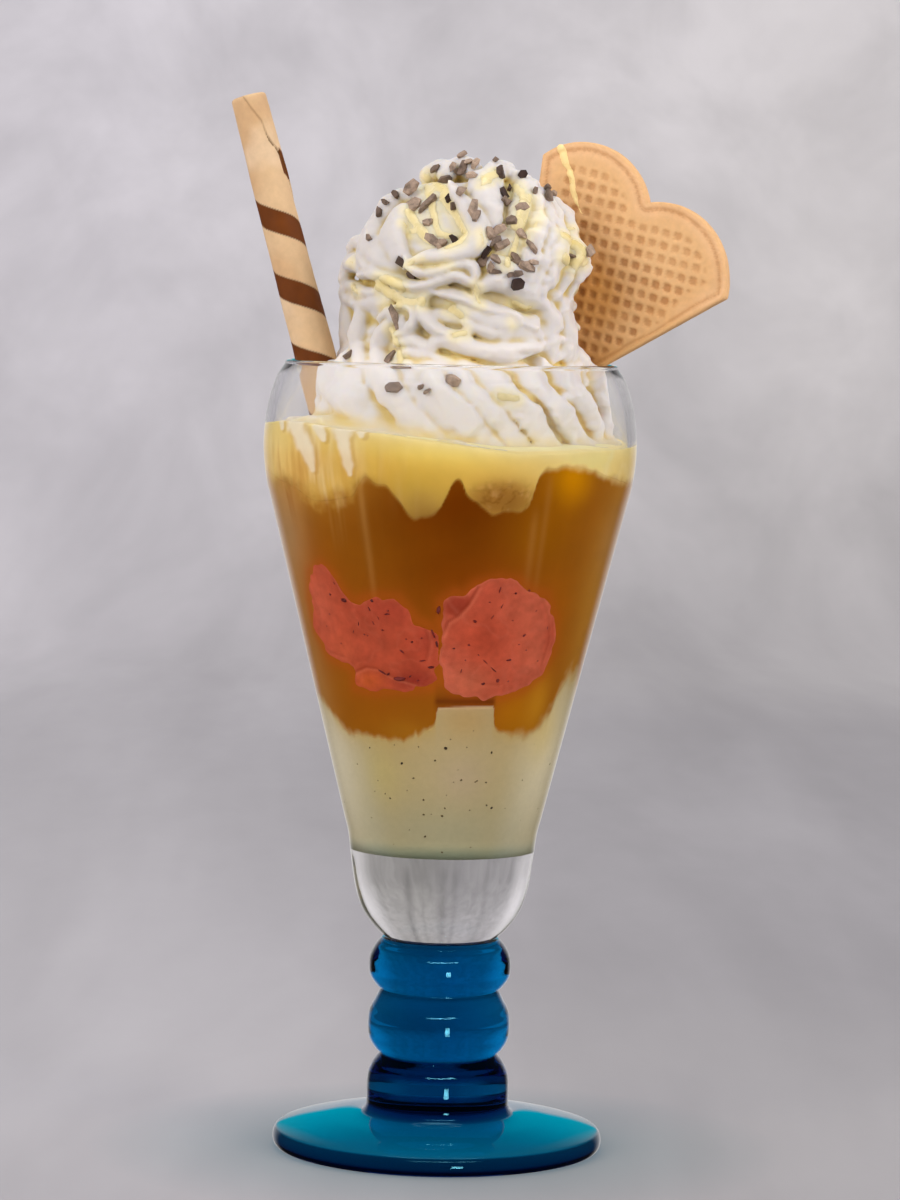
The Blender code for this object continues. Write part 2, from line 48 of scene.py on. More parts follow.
# ================================================================= sizes shared with the frame (millimetres)
GLASS_HEIGHT, RIM_BEAD, RIM_RADIUS = 190.4, 0.95, 39.15
TAPER_TOP, TAPER_FOOT = (42.7, 156.3), (22.8, 76.6)
BELLY = [(44.1, 162.1), (44.85, 169.5), (44.45, 176.5), (43.5, 181.5), (42.0, 186.2)]
BASE = [(22.0, 70.5), (20.9, 63.7), (19.2, 58.4), (16.5, 54.4), (13.9, 51.75)]
FLOOR_Z, STEM_TOP = 72.8, 51.45
STEM = [(13.8, 51.45), (15.6, 49.4), (17.0, 46.4), (17.0, 42.4), (15.5, 39.8), (14.25, 38.7),
        (15.4, 36.3), (17.0, 32.8), (17.05, 27.6), (15.7, 24.6), (14.1, 23.0),
        (15.9, 20.6), (17.1, 17.2), (17.2, 10.6), (17.9, 9.1), (19.6, 8.35)]
FOOT = [(27.0, 7.4), (34.0, 6.15), (38.3, 5.05), (39.3, 4.4), (39.8, 3.2), (39.8, 1.7), (39.2, 0.5), (38.0, 0.0)]
ROLL_LOW, ROLL_HIGH = (-28.6, -2.6, 177.0), (-50.1, 0.6, 253.0)
ROLL_RADIUS_LOW, ROLL_RADIUS_HIGH, ROLL_BORE = 5.2, 4.45, 1.95
HEART_CENTRE = (39.3, 3.0, 217.6)
HEART_LOBE, HEART_HALF, HEART_LENGTH = 19.2, 12.9, 49.8
HEART_CORNER, HEART_TIP, HEART_THICK = 23.0, 11.0, 2.5
HEART_TURN, HEART_LEAN, HEART_YAW = 33.9, 3.7, 29.1


# ================================================================= helpers
def lin(r, g, b):
    """Display colour 0-255 to linear."""
    out = []
    for c in (r, g, b):
        c = c / 255.0
        out.append(c / 12.92 if c <= 0.04045 else ((c + 0.055) / 1.055) ** 2.4)
    return np.array(out)


def catmull(points, steps, closed=False):
    pts = [np.array(p, float) for p in points]
    n = len(pts)
    out = []
    for i in range(n if closed else n - 1):
        if closed:
            a, b, c, d = pts[i - 1], pts[i], pts[(i + 1) % n], pts[(i + 2) % n]
        else:
            a, b, c, d = pts[max(i - 1, 0)], pts[i], pts[i + 1], pts[min(i + 2, n - 1)]
        for k in range(steps):
            t = k / steps
            out.append(0.5 * ((2 * b) + (c - a) * t + (2 * a - 5 * b + 4 * c - d) * t * t
                              + (3 * b - a - 3 * c + d) * t ** 3))
    if not closed:
        out.append(pts[-1])
    return np.array(out)


def smooth(x, a, b):
    t = np.clip((x - a) / (b - a), 0.0, 1.0)
    return t * t * (3 - 2 * t)


_tables = {}


def noise(p, cell, seed=0):
    """Smooth value noise in -1..1 at points p (n, 3) in mm, with features about cell mm wide."""
    if seed not in _tables:
        _tables[seed] = np.random.RandomState(seed + 11).rand(32, 32, 32).astype(np.float32) * 2 - 1
    table = _tables[seed]
    q = np.asarray(p, float) / cell + 100.37
    i = np.floor(q).astype(int)
    f = q - i
    f = f * f * (3 - 2 * f)
    i %= 32
    j = (i + 1) % 32
    out = 0.0
    for dx, wx in ((i[..., 0], 1 - f[..., 0]), (j[..., 0], f[..., 0])):
        for dy, wy in ((i[..., 1], 1 - f[..., 1]), (j[..., 1], f[..., 1])):
            for dz, wz in ((i[..., 2], 1 - f[..., 2]), (j[..., 2], f[..., 2])):
                out = out + table[dx, dy, dz] * wx * wy * wz
    return out


def fbm(p, cell, octaves=3, seed=0):
    total, amp, out = 0.0, 1.0, 0.0
    for k in range(octaves):
        out = out + noise(p, cell / 2 ** k, seed + k) * amp
        total += amp
        amp *= 0.5
    return out / total


def make_mesh(name, verts, faces, colours=None, floats=None, smooth_shade=True, unit=MM):
    """faces: a list of (n, k) integer arrays. verts in mm."""
    verts = np.asarray(verts, np.float32) * unit
    groups = faces if isinstance(faces, list) else [faces]
    loops = np.concatenate([np.asarray(f, np.int32).ravel() for f in groups])
    counts = np.concatenate([np.full(len(f), np.asarray(f).shape[1], np.int32) for f in groups])
    starts = np.concatenate([[0], np.cumsum(counts)[:-1]]).astype(np.int32)
    mesh = bpy.data.meshes.new(name)
    mesh.vertices.add(len(verts))
    mesh.vertices.foreach_set("co", verts.ravel())
    mesh.loops.add(len(loops))
    mesh.loops.foreach_set("vertex_index", loops)
    mesh.polygons.add(len(counts))
    mesh.polygons.foreach_set("loop_start", starts)
    mesh.polygons.foreach_set("loop_total", counts)
    mesh.update(calc_edges=True)
    mesh.validate()
    if smooth_shade:
        mesh.polygons.foreach_set("use_smooth", np.ones(len(mesh.polygons), bool))
    if colours is not None:
        layer = mesh.attributes.new("Paint", "FLOAT_COLOR", "POINT")
        rgba = np.ones((len(verts), 4), np.float32)
        rgba[:, :3] = colours
        layer.data.foreach_set("color", rgba.ravel())
    for key, values in (floats or {}).items():
        layer = mesh.attributes.new(key, "FLOAT", "POINT")
        layer.data.foreach_set("value", np.asarray(values, np.float32))
    mesh.update()
    obj = bpy.data.objects.new(name, mesh)
    bpy.context.scene.collection.objects.link(obj)
    return obj


def grid_faces(rows, cols, closed=True, offset=0, flip=False):
    """Quads of a grid of rows x cols vertices, columns going round when closed."""
    r = np.arange(rows - 1)[:, None]
    c = np.arange(cols if closed else cols - 1)[None, :]
    n = (c + 1) % cols
    a, b = r * cols + c, r * cols + n
    d, e = (r + 1) * cols + c, (r + 1) * cols + n
    quads = np.stack([a, b, e, d], -1).reshape(-1, 4) + offset
    return quads[:, ::-1] if flip else quads


def closed_grid(rows):
    """rows: list of (n, 3) rings from the first pole to the last; adds a pole at each end. Returns verts, faces."""
    n = len(rows[0])
    verts = np.concatenate(rows)
    first, last = len(verts), len(verts) + 1
    verts = np.concatenate([verts, [rows[0].mean(0)], [rows[-1].mean(0)]])
    quads = grid_faces(len(rows), n)
    i = np.arange(n)
    j = (i + 1) % n
    base = (len(rows) - 1) * n
    caps = np.concatenate([np.stack([np.full(n, first), j, i], -1), np.stack([np.full(n, last), base + i, base + j], -1)])
    return verts, [quads, caps]


def outward(obj):
    """Turns all faces the same way, outwards."""
    import bmesh
    bm = bmesh.new()
    bm.from_mesh(obj.data)
    bmesh.ops.recalc_face_normals(bm, faces=bm.faces)
    bm.to_mesh(obj.data)
    bm.free()
    return obj


def turned(name, profile, steps):
    """A turned solid from a profile of (radius, z) that starts and ends on the axis."""
    a = np.arange(steps) * 2 * math.pi / steps
    rows = [np.stack([r * np.sin(a), -r * np.cos(a), np.full(steps, z)], -1) for r, z in profile[1:-1]]
    verts, faces = closed_grid(rows)
    verts[-2] = (0, 0, profile[0][1])
    verts[-1] = (0, 0, profile[-1][1])
    return outward(make_mesh(name, verts, faces))


def at(az, r, z):
    a = np.radians(az)
    return np.stack([r * np.sin(a), -r * np.cos(a), z + 0 * r], -1)


# ================================================================= materials
class Mat:
    def __init__(self, name, colour=(0.8, 0.8, 0.8), rough=0.5, **sockets):
        self.mat = bpy.data.materials.new(name)
        self.mat.use_nodes = True
        self.tree = self.mat.node_tree
        self.out = self.tree.nodes["Material Output"]
        self.bsdf = self.tree.nodes["Principled BSDF"]
        self.set("Base Color", (*colour, 1.0))
        self.set("Roughness", rough)
        for key, value in sockets.items():
            self.set(key.replace("_", " "), value)

    def set(self, key, value):
        self.bsdf.inputs[key].default_value = value

    def node(self, kind, **inputs):
        made = self.tree.nodes.new(kind)
        for key, value in inputs.items():
            if key in made.inputs:
                made.inputs[key].default_value = value
            else:
                setattr(made, key, value)
        return made

    def link(self, a, b):
        self.tree.links.new(a, b)

    def coords(self):
        if not hasattr(self, "_coords"):
            self._coords = self.node("ShaderNodeTexCoord")
        return self._coords.outputs["Object"]

    def noise(self, scale, detail=3.0, rough=0.5, distort=0.0, stretch=None):
        made = self.node("ShaderNodeTexNoise", Scale=scale, Detail=detail, Roughness=rough, Distortion=distort)
        if stretch:
            drawn = self.node("ShaderNodeVectorMath", operation="MULTIPLY")
            drawn.inputs[1].default_value = stretch
            self.link(self.coords(), drawn.inputs[0])
            self.link(drawn.outputs[0], made.inputs["Vector"])
        else:
            self.link(self.coords(), made.inputs["Vector"])
        return made.outputs["Fac"]

    def voronoi(self, scale, feature="F1"):
        made = self.tree.nodes.new("ShaderNodeTexVoronoi")
        made.feature = feature
        made.inputs["Scale"].default_value = scale
        self.link(self.coords(), made.inputs["Vector"])
        return made.outputs["Distance"]

    def attr(self, name, out="Color"):
        made = self.tree.nodes.new("ShaderNodeAttribute")
        made.attribute_name = name
        return made.outputs[out]

    def span(self, fac, low, high, a=0.0, b=1.0):
        made = self.tree.nodes.new("ShaderNodeMapRange")
        made.clamp = True
        made.inputs["From Min"].default_value = low
        made.inputs["From Max"].default_value = high
        made.inputs["To Min"].default_value = a
        made.inputs["To Max"].default_value = b
        self.link(fac, made.inputs["Value"])
        return made.outputs["Result"]

    def curve(self, fac, stops, tint):
        """Grey levels over fac times 2.8, tinted."""
        made = self.tree.nodes.new("ShaderNodeValToRGB")
        ramp = made.color_ramp
        ramp.interpolation = "B_SPLINE"
        while len(ramp.elements) > 1:
            ramp.elements.remove(ramp.elements[-1])
        for k, (place, level) in enumerate(stops):
            point = ramp.elements[0] if k == 0 else ramp.elements.new(place / 2.8)
            point.position = place / 2.8
            point.color = (level * tint[0], level * tint[1], level * tint[2], 1.0)
        self.link(fac, made.inputs["Fac"])
        return made.outputs["Color"]

    def mix(self, fac, a, b, mode="MIX"):
        made = self.tree.nodes.new("ShaderNodeMix")
        made.data_type = "RGBA"
        made.blend_type = mode
        made.clamp_result = False
        for value, index in ((fac, 0), (a, 6), (b, 7)):
            if hasattr(value, "links"):
                self.link(value, made.inputs[index])
            elif index == 0:
                made.inputs[0].default_value = value
            else:
                made.inputs[index].default_value = (*value, 1.0) if len(value) == 3 else value
        return made.outputs[2]

    def maths(self, op, a, b=0.5):
        made = self.tree.nodes.new("ShaderNodeMath")
        made.operation = op
        for i, value in enumerate((a, b)):
            if hasattr(value, "links"):
                self.link(value, made.inputs[i])
            else:
                made.inputs[i].default_value = value
        return made.outputs[0]

    def vary(self, colour, fac, low, high):
        """Multiplies a colour by low..high as the noise fac goes from 0.3 to 0.7."""
        ramp = self.span(fac, 0.3, 0.7, low, high)
        comb = self.tree.nodes.new("ShaderNodeCombineColor")
        for i in range(3):
            self.link(ramp, comb.inputs[i])
        return self.mix(1.0, colour, comb.outputs[0], "MULTIPLY")

    def colour(self, socket):
        self.link(socket, self.bsdf.inputs["Base Color"])

    def rough(self, fac, low, high):
        self.link(self.span(fac, 0.3, 0.7, low, high), self.bsdf.inputs["Roughness"])

    def bump(self, *heights, distance=0.0002, strength=0.5):
        normal = None
        for height in heights:
            d, s = distance, strength
            if isinstance(height, tuple):
                height, d, s = height
            made = self.tree.nodes.new("ShaderNodeBump")
            made.inputs["Distance"].default_value = d
            made.inputs["Strength"].default_value = s
            self.link(height, made.inputs["Height"])
            if normal is not None:
                self.link(normal, made.inputs["Normal"])
            normal = made.outputs["Normal"]
        self.link(normal, self.bsdf.inputs["Normal"])

    def let_light_through(self, tint):
        """Rays from the lamps pass straight through the glass."""
        clear = self.tree.nodes.new("ShaderNodeBsdfTransparent")
        clear.inputs["Color"].default_value = (*tint, 1.0)
        path = self.tree.nodes.new("ShaderNodeLightPath")
        pick = self.tree.nodes.new("ShaderNodeMixShader")
        self.link(path.outputs["Is Shadow Ray"], pick.inputs[0])
        self.link(self.bsdf.outputs[0], pick.inputs[1])
        self.link(clear.outputs[0], pick.inputs[2])
        self.link(pick.outputs[0], self.out.inputs["Surface"])

    def skin(self, weight, radius, scale):
        self.set("Subsurface Weight", weight)
        self.set("Subsurface Radius", radius)
        self.set("Subsurface Scale", scale)


def finish_piece(obj, mat, nodes=()):
    obj.data.materials.clear()
    obj.data.materials.append(mat.mat if isinstance(mat, Mat) else mat)
    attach(obj, "root")
    if nodes:
        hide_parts(*nodes)
    return obj


# ================================================================= camera, light, floor
def camera():
    pitch, roll = math.radians(4.06), math.radians(1.14)
    right, up = Vector((1, 0, 0)), Vector((0, math.sin(pitch), math.cos(pitch)))
    ahead = Vector((0, math.cos(pitch), -math.sin(pitch)))
    x = right * math.cos(roll) + up * math.sin(roll)
    y = up * math.cos(roll) - right * math.sin(roll)
    data = bpy.data.cameras.new("camera")
    data.sensor_width = 36.0
    data.lens = 129.0
    data.clip_start, data.clip_end = 0.01, 50.0
    data.dof.use_dof = False
    obj = bpy.data.objects.new("camera", data)
    bpy.context.scene.collection.objects.link(obj)
    m = Matrix((x, y, -ahead)).transposed().to_4x4()
    m.translation = Vector((0.0007, -1.034, 0.2065))
    obj.matrix_world = m
    bpy.context.scene.camera = obj
    return obj


def area_light(name, place, aim, size, power, colour=(1, 1, 1), size_y=None, through=True, mirrored=True, lit=True, spread=180.0):
    data = bpy.data.lights.new(name, "AREA")
    data.energy = power
    data.color = colour
    data.shape = "RECTANGLE"
    data.size = size
    data.size_y = size_y or size
    data.spread = math.radians(spread)
    obj = bpy.data.objects.new(name, data)
    bpy.context.scene.collection.objects.link(obj)
    obj.location = place
    obj.rotation_euler = (Vector(aim) - Vector(place)).to_track_quat("-Z", "Y").to_euler()
    obj.visible_camera = False
    obj.visible_transmission = through
    obj.visible_glossy = mirrored
    obj.visible_diffuse = lit
    return obj


def stage():
    """A plain pale studio bowl: floor, wide cove and wall, the same all the way round."""
    steps = 128
    prof = [(0.0001, 0.0), (0.25, 0.0), (0.6, 0.0), (1.1, 0.0), (1.4, 0.0)]
    r = 1.1
    prof += [(1.4 + r * math.sin(t), r - r * math.cos(t)) for t in np.radians(np.linspace(6, 90, 22))]
    prof += [(2.5, 1.6), (2.5, 2.4)]
    a = np.arange(steps) * 2 * math.pi / steps
    rows = [np.stack([q * np.sin(a), -q * np.cos(a), np.full(steps, z + 0.00004)], -1) for q, z in prof]
    obj = make_mesh("studio_floor", np.concatenate(rows), grid_faces(len(rows), steps), unit=1.0)
    m = Mat("studio_grey", (0.5, 0.48, 0.5), 0.6, Specular_IOR_Level=0.0)
    sep = m.tree.nodes.new("ShaderNodeSeparateXYZ")
    m.link(m.coords(), sep.inputs[0])
    x, y, z = sep.outputs["X"], sep.outputs["Y"], sep.outputs["Z"]
    away = m.maths("SQRT", m.maths("ADD", m.maths("MULTIPLY", x, x), m.maths("MULTIPLY", y, y)))
    along = m.maths("DIVIDE", m.maths("ADD", away, z), 2.8)
    right = m.span(m.maths("DIVIDE", x, m.maths("MAXIMUM", m.maths("ADD", y, 1.034), 0.5)), -0.08, 0.08)
    cloud = m.noise(8.5, 4.0, 0.55, 0.4, stretch=(1.0, 0.13, 1.0))
    fine = m.noise(38.0, 4.0, 0.6, 0.2, stretch=(1.0, 0.3, 1.0))
    tone = m.mix(m.span(z, 0.0, 0.75), tuple(FLOOR_COLOUR), tuple(WALL_COLOUR))
    tone = m.vary(tone, right, 1.0, 0.9)
    tone = m.vary(tone, cloud, 0.88, 1.12)
    tone = m.vary(tone, fine, 0.975, 1.02)
    # painted shadow: the floor darker and cooler round the glass foot, as under light that has passed through the blue
    # glass
    tone = m.mix(1.0, tone, m.mix(m.span(away, 0.036, 0.085), (0.60, 0.74, 0.76), (1.0, 1.0, 1.0)), "MULTIPLY")
    m.colour(tone)
    # soft light of its own, rising from the far floor up the wall, less at the right; the walls at both sides are brightest
    lit = m.mix(right, m.curve(along, WALL_LIGHT_LEFT, (1.0, 0.945, 1.0)), m.curve(along, WALL_LIGHT_RIGHT, (1.0, 0.945, 0.90)))
    lit = m.vary(lit, cloud, 0.85, 1.15)
    sides = m.maths("MULTIPLY", m.span(m.maths("ABSOLUTE", x), 1.1, 1.9), m.span(z, 0.0, 0.12))
    lit = m.mix(sides, lit, (SIDE_LIGHT, SIDE_LIGHT * 0.95, SIDE_LIGHT))
    # painted light: the floor under the glass foot glows blue-green, standing in for the light that gathers under it
    lit = m.mix(m.span(away, 0.030, 0.0385), (0.0, 0.13, 0.18), lit)
    m.link(lit, m.bsdf.inputs["Emission Color"])
    m.set("Emission Strength", 1.0)
    m.rough(fine, 0.38, 0.55)
    m.bump((fine, 0.0006, 0.25))
    obj.data.materials.append(m.mat)
    obj.visible_shadow = False
    obj.visible_glossy = False
    return obj


FLOOR_COLOUR = (0.275, 0.265, 0.271)
WALL_COLOUR = (0.435, 0.424, 0.437)
WALL_LIGHT_LEFT = [(0.0, 0.10), (0.25, 0.045), (0.4, 0.055), (0.75, 0.0), (1.1, 0.08), (1.5, 0.195), (1.8, 0.215), (2.2, 0.265), (2.7, 0.25)]
WALL_LIGHT_RIGHT = [(0.0, 0.12), (0.15, 0.09), (0.3, 0.0), (0.6, 0.015), (1.07, 0.035), (1.29, 0.14), (1.5, 0.125), (1.73, 0.18), (2.0, 0.235),
                    (2.3, 0.285), (2.7, 0.275)]
SIDE_LIGHT = 1.0


def lighting():
    world = bpy.data.worlds.new("studio")
    bpy.context.scene.world = world
    world.use_nodes = True
    tree = world.node_tree
    back = tree.nodes["Background"]
    back.inputs["Color"].default_value = (0.94, 0.95, 1.0, 1.0)
    back.inputs["Strength"].default_value = 0.83
    # what polished surfaces mirror: a pale room behind the object, blue light low over the table, darkness in front
    coord = tree.nodes.new("ShaderNodeTexCoord")
    split = tree.nodes.new("ShaderNodeSeparateXYZ")
    tree.links.new(coord.outputs["Generated"], split.inputs[0])

    def ramp(axis, a, b, low, high):
        node = tree.nodes.new("ShaderNodeMapRange")
        node.interpolation_type = "SMOOTHSTEP"
        for key, value in (("From Min", a), ("From Max", b), ("To Min", low), ("To Max", high)):
            node.inputs[key].default_value = value
        tree.links.new(split.outputs[axis], node.inputs["Value"])
        return node.outputs["Result"]

    def times(a, b):
        node = tree.nodes.new("ShaderNodeMath")
        node.operation = "MULTIPLY"
        tree.links.new(a, node.inputs[0])
        tree.links.new(b, node.inputs[1])
        return node.outputs[0]

    pale, blue = tree.nodes.new("ShaderNodeBackground"), tree.nodes.new("ShaderNodeBackground")
    pale.inputs["Color"].default_value = (1.0, 0.97, 0.98, 1.0)
    blue.inputs["Color"].default_value = (0.0, 0.8, 1.0, 1.0)
    side = tree.nodes.new("ShaderNodeMath")
    side.operation = "ABSOLUTE"
    tree.links.new(split.outputs["X"], side.inputs[0])
    ahead = tree.nodes.new("ShaderNodeMapRange")
    for key, value in (("From Min", 0.14), ("From Max", 0.27), ("To Min", 1.0), ("To Max", 0.0)):
        ahead.inputs[key].default_value = value
    tree.links.new(side.outputs[0], ahead.inputs["Value"])
    over = times(ahead.outputs["Result"], times(ramp("Z", 0.08, 0.14, 0.0, 1.0), ramp("Y", 0.6, 0.9, 0.0, 1.0)))
    rest = tree.nodes.new("ShaderNodeMath")
    rest.operation = "SUBTRACT"
    rest.inputs[0].default_value = 1.0
    tree.links.new(over, rest.inputs[1])
    tree.links.new(times(rest.outputs[0], ramp("Y", 0.78, 1.0, 0.02, 0.7)), pale.inputs["Strength"])
    tree.links.new(times(over, ramp("Z", 0.25, 0.6, 0.72, 0.1)), blue.inputs["Strength"])
    lower = tree.nodes.new("ShaderNodeAddShader")
    tree.links.new(pale.outputs[0], lower.inputs[0])
    tree.links.new(blue.outputs[0], lower.inputs[1])
    # a round skylight straight above, which draws a thin line along every upper edge of the glass
    sky = tree.nodes.new("ShaderNodeBackground")
    tree.links.new(ramp("Z", 0.93, 0.965, 0.0, 4.0), sky.inputs["Strength"])
    room = tree.nodes.new("ShaderNodeAddShader")
    tree.links.new(lower.outputs[0], room.inputs[0])
    tree.links.new(sky.outputs[0], room.inputs[1])
    path = tree.nodes.new("ShaderNodeLightPath")
    pick = tree.nodes.new("ShaderNodeMixShader")
    tree.links.new(path.outputs["Is Glossy Ray"], pick.inputs[0])
    tree.links.new(back.outputs[0], pick.inputs[1])
    tree.links.new(room.outputs[0], pick.inputs[2])
    tree.links.new(pick.outputs[0], tree.nodes["World Output"].inputs["Surface"])
    area_light("key", (-1.05, -1.15, 0.75), (0, 0, 0.17), 0.9, 12.2, (1.0, 0.98, 0.96), through=False, mirrored=False)
    area_light("fill", (1.25, -0.9, 0.55), (0, 0, 0.15), 0.8, 10.5, (0.98, 0.98, 1.0), through=False, mirrored=False)
    area_light("top", (-0.10, 0.78, 1.28), (0, 0, 0.15), 0.9, 7.5, (1.0, 1.0, 1.0), size_y=0.6, through=False, mirrored=False)
    # highlights on the rings of the stem only: three narrow strips above the camera and a small window
    for name, turn, lift, wide, high, power in (("strip_1", -13, 35, 0.13, 0.034, 0.002), ("strip_2", 5, 35, 0.14, 0.034, 0.003),
                                                ("strip_3", 25, 35, 0.12, 0.034, 0.002), ("window", 14, -5, 0.06, 0.10, 0.005)):
        t, e = math.radians(turn), math.radians(lift)
        place = (0.45 * math.cos(e) * math.sin(t), -0.45 * math.cos(e) * math.cos(t), 0.032 + 0.45 * math.sin(e))
        area_light(name, place, (0, 0, 0.032), wide, power, (1.0, 1.0, 1.0), size_y=high, through=False, lit=False, spread=22.0)
    # boards on the table at both sides, which only shine through the glass
    for name, x in (("board_left", -0.36), ("board_right", 0.36)):
        area_light(name, (x, 0.08, 0.002), (x, 0.08, 1.0), 0.34, 0.3, (1.0, 0.99, 1.0), size_y=0.8, mirrored=False, lit=False)


bpy.context.scene.view_settings.view_transform = "Standard"
camera()
stage()
lighting()


# ================================================================= glass
def outer_curve():
    """Fine outside of the bowl from under the lip to the fused base."""
    belly = catmull([(TAPER_TOP[0] - 2.5 * 0.25, TAPER_TOP[1] - 2.5), TAPER_TOP] + BELLY
                    + [(RIM_RADIUS + RIM_BEAD, GLASS_HEIGHT - RIM_BEAD)], 7)
    base = catmull([(TAPER_FOOT[0] + 1.0, TAPER_FOOT[1] + 4.0), TAPER_FOOT] + BASE, 7)
    return belly[::-1], base


def outer_radius(z):
    return np.interp(z, _OZ, _OR)


_belly, _base = outer_curve()
_all = np.concatenate([_belly, _base])[::-1]
_OR, _OZ = _all[:, 0], _all[:, 1]


def inner_radius(z):
    return outer_radius(z) - np.interp(z, [78.0, 115.0, 165.0, 186.0], [3.0, 2.2, 2.2, 1.95])


def glass_bowl():
    rf = float(inner_radius(FLOOR_Z + 4))
    corner = [(rf - 4.2 + 4.2 * math.sin(t), FLOOR_Z + 4.0 - 4.0 * math.cos(t)) for t in np.radians(np.linspace(0, 90, 10))]
    inner = [(0.0, FLOOR_Z)] + [(float(r), FLOOR_Z) for r in np.linspace(2, rf - 4.4, 6)] + corner[1:]
    inner += [(float(inner_radius(z)), float(z)) for z in np.concatenate([np.linspace(80, 155, 12), np.linspace(156.3, 186.4, 22)])]
    lip = [(RIM_RADIUS + RIM_BEAD * math.cos(a), GLASS_HEIGHT - RIM_BEAD + RIM_BEAD * math.sin(a))
           for a in np.radians(np.linspace(190, 0, 14))]
    down = [tuple(p) for p in _belly[1:]] + [tuple(p) for p in _base]
    down = [p for p in down if p[1] > STEM_TOP + 0.1]
    bottom = [(13.0, STEM_TOP + 0.12), (11.0, STEM_TOP + 0.1), (5.0, STEM_TOP + 0.1), (0.0, STEM_TOP + 0.1)]
    obj = turned("glass_bowl_clear", inner + lip + down + bottom, 240)
    n = len(obj.data.vertices)
    co = np.empty(n * 3, np.float32)
    obj.data.vertices.foreach_get("co", co)
    co = co.reshape(-1, 3) / MM
    az = np.degrees(np.arctan2(co[:, 0], -co[:, 1]))
    # the thick base was drawn while soft: slow vertical waves, and grey streaks painted into its tint as shade
    deep = smooth(-co[:, 2], -73.5, -68.0) * smooth(np.hypot(co[:, 0], co[:, 1]), 5.0, 12.0)
    wave = noise(np.stack([np.sin(np.radians(az)) * 7, np.cos(np.radians(az)) * 7, az * 0], -1), 1.1, 701) * 0.16
    co[:, 0] *= 1 + wave * deep * 0.035
    co[:, 1] *= 1 + wave * deep * 0.035
    obj.data.vertices.foreach_set("co", (co * MM).ravel().astype(np.float32))
    # painted shade: grey streaks in the tint of the thick base, standing in for darker surroundings seen through it
    tint = np.tile(np.array([0.985, 0.992, 0.995]), (n, 1))
    grey = np.zeros(n)
    for centre, width, amount in ((-22, 3.2, 0.42), (-12, 1.3, 0.12), (1, 3.6, 0.4), (8.5, 2.2, 0.3), (30, 2.4, 0.14), (-45, 3.0, 0.16), (48, 5, 0.12)):
        grey += amount * np.exp(-((az - centre) / width) ** 2)
    grey += np.clip(noise(np.stack([np.sin(np.radians(az)) * 9, np.cos(np.radians(az)) * 9, az * 0 + 4], -1), 1.2, 703), 0, 1) * 0.12
    tint *= (1 - np.clip(grey, 0, 0.7) * deep)[:, None]
    layer = obj.data.attributes.new("Paint", "FLOAT_COLOR", "POINT")
    layer.data.foreach_set("color", np.column_stack([tint, np.ones(n)]).astype(np.float32).ravel())
    m = Mat("clear_glass", (0.985, 0.992, 0.995), 0.0, Transmission_Weight=1.0, IOR=1.45)
    m.colour(m.attr("Paint"))
    volume = m.tree.nodes.new("ShaderNodeVolumeAbsorption")
    volume.inputs["Color"].default_value = (0.5, 0.5, 0.46, 1.0)
    volume.inputs["Density"].default_value = 24.0
    m.link(volume.outputs[0], m.out.inputs["Volume"])
    # faint handling marks: the sheen of the glass is not perfectly even
    marks = m.noise(60.0, 4.0, 0.6)
    m.rough(marks, 0.0, 0.018)
    m.bump((m.noise(34.0, 2.0, 0.4), 0.00012, 0.12))
    m.let_light_through((0.99, 0.99, 0.99))
    finish_piece(obj, m, ["glass_bowl"])
    return obj


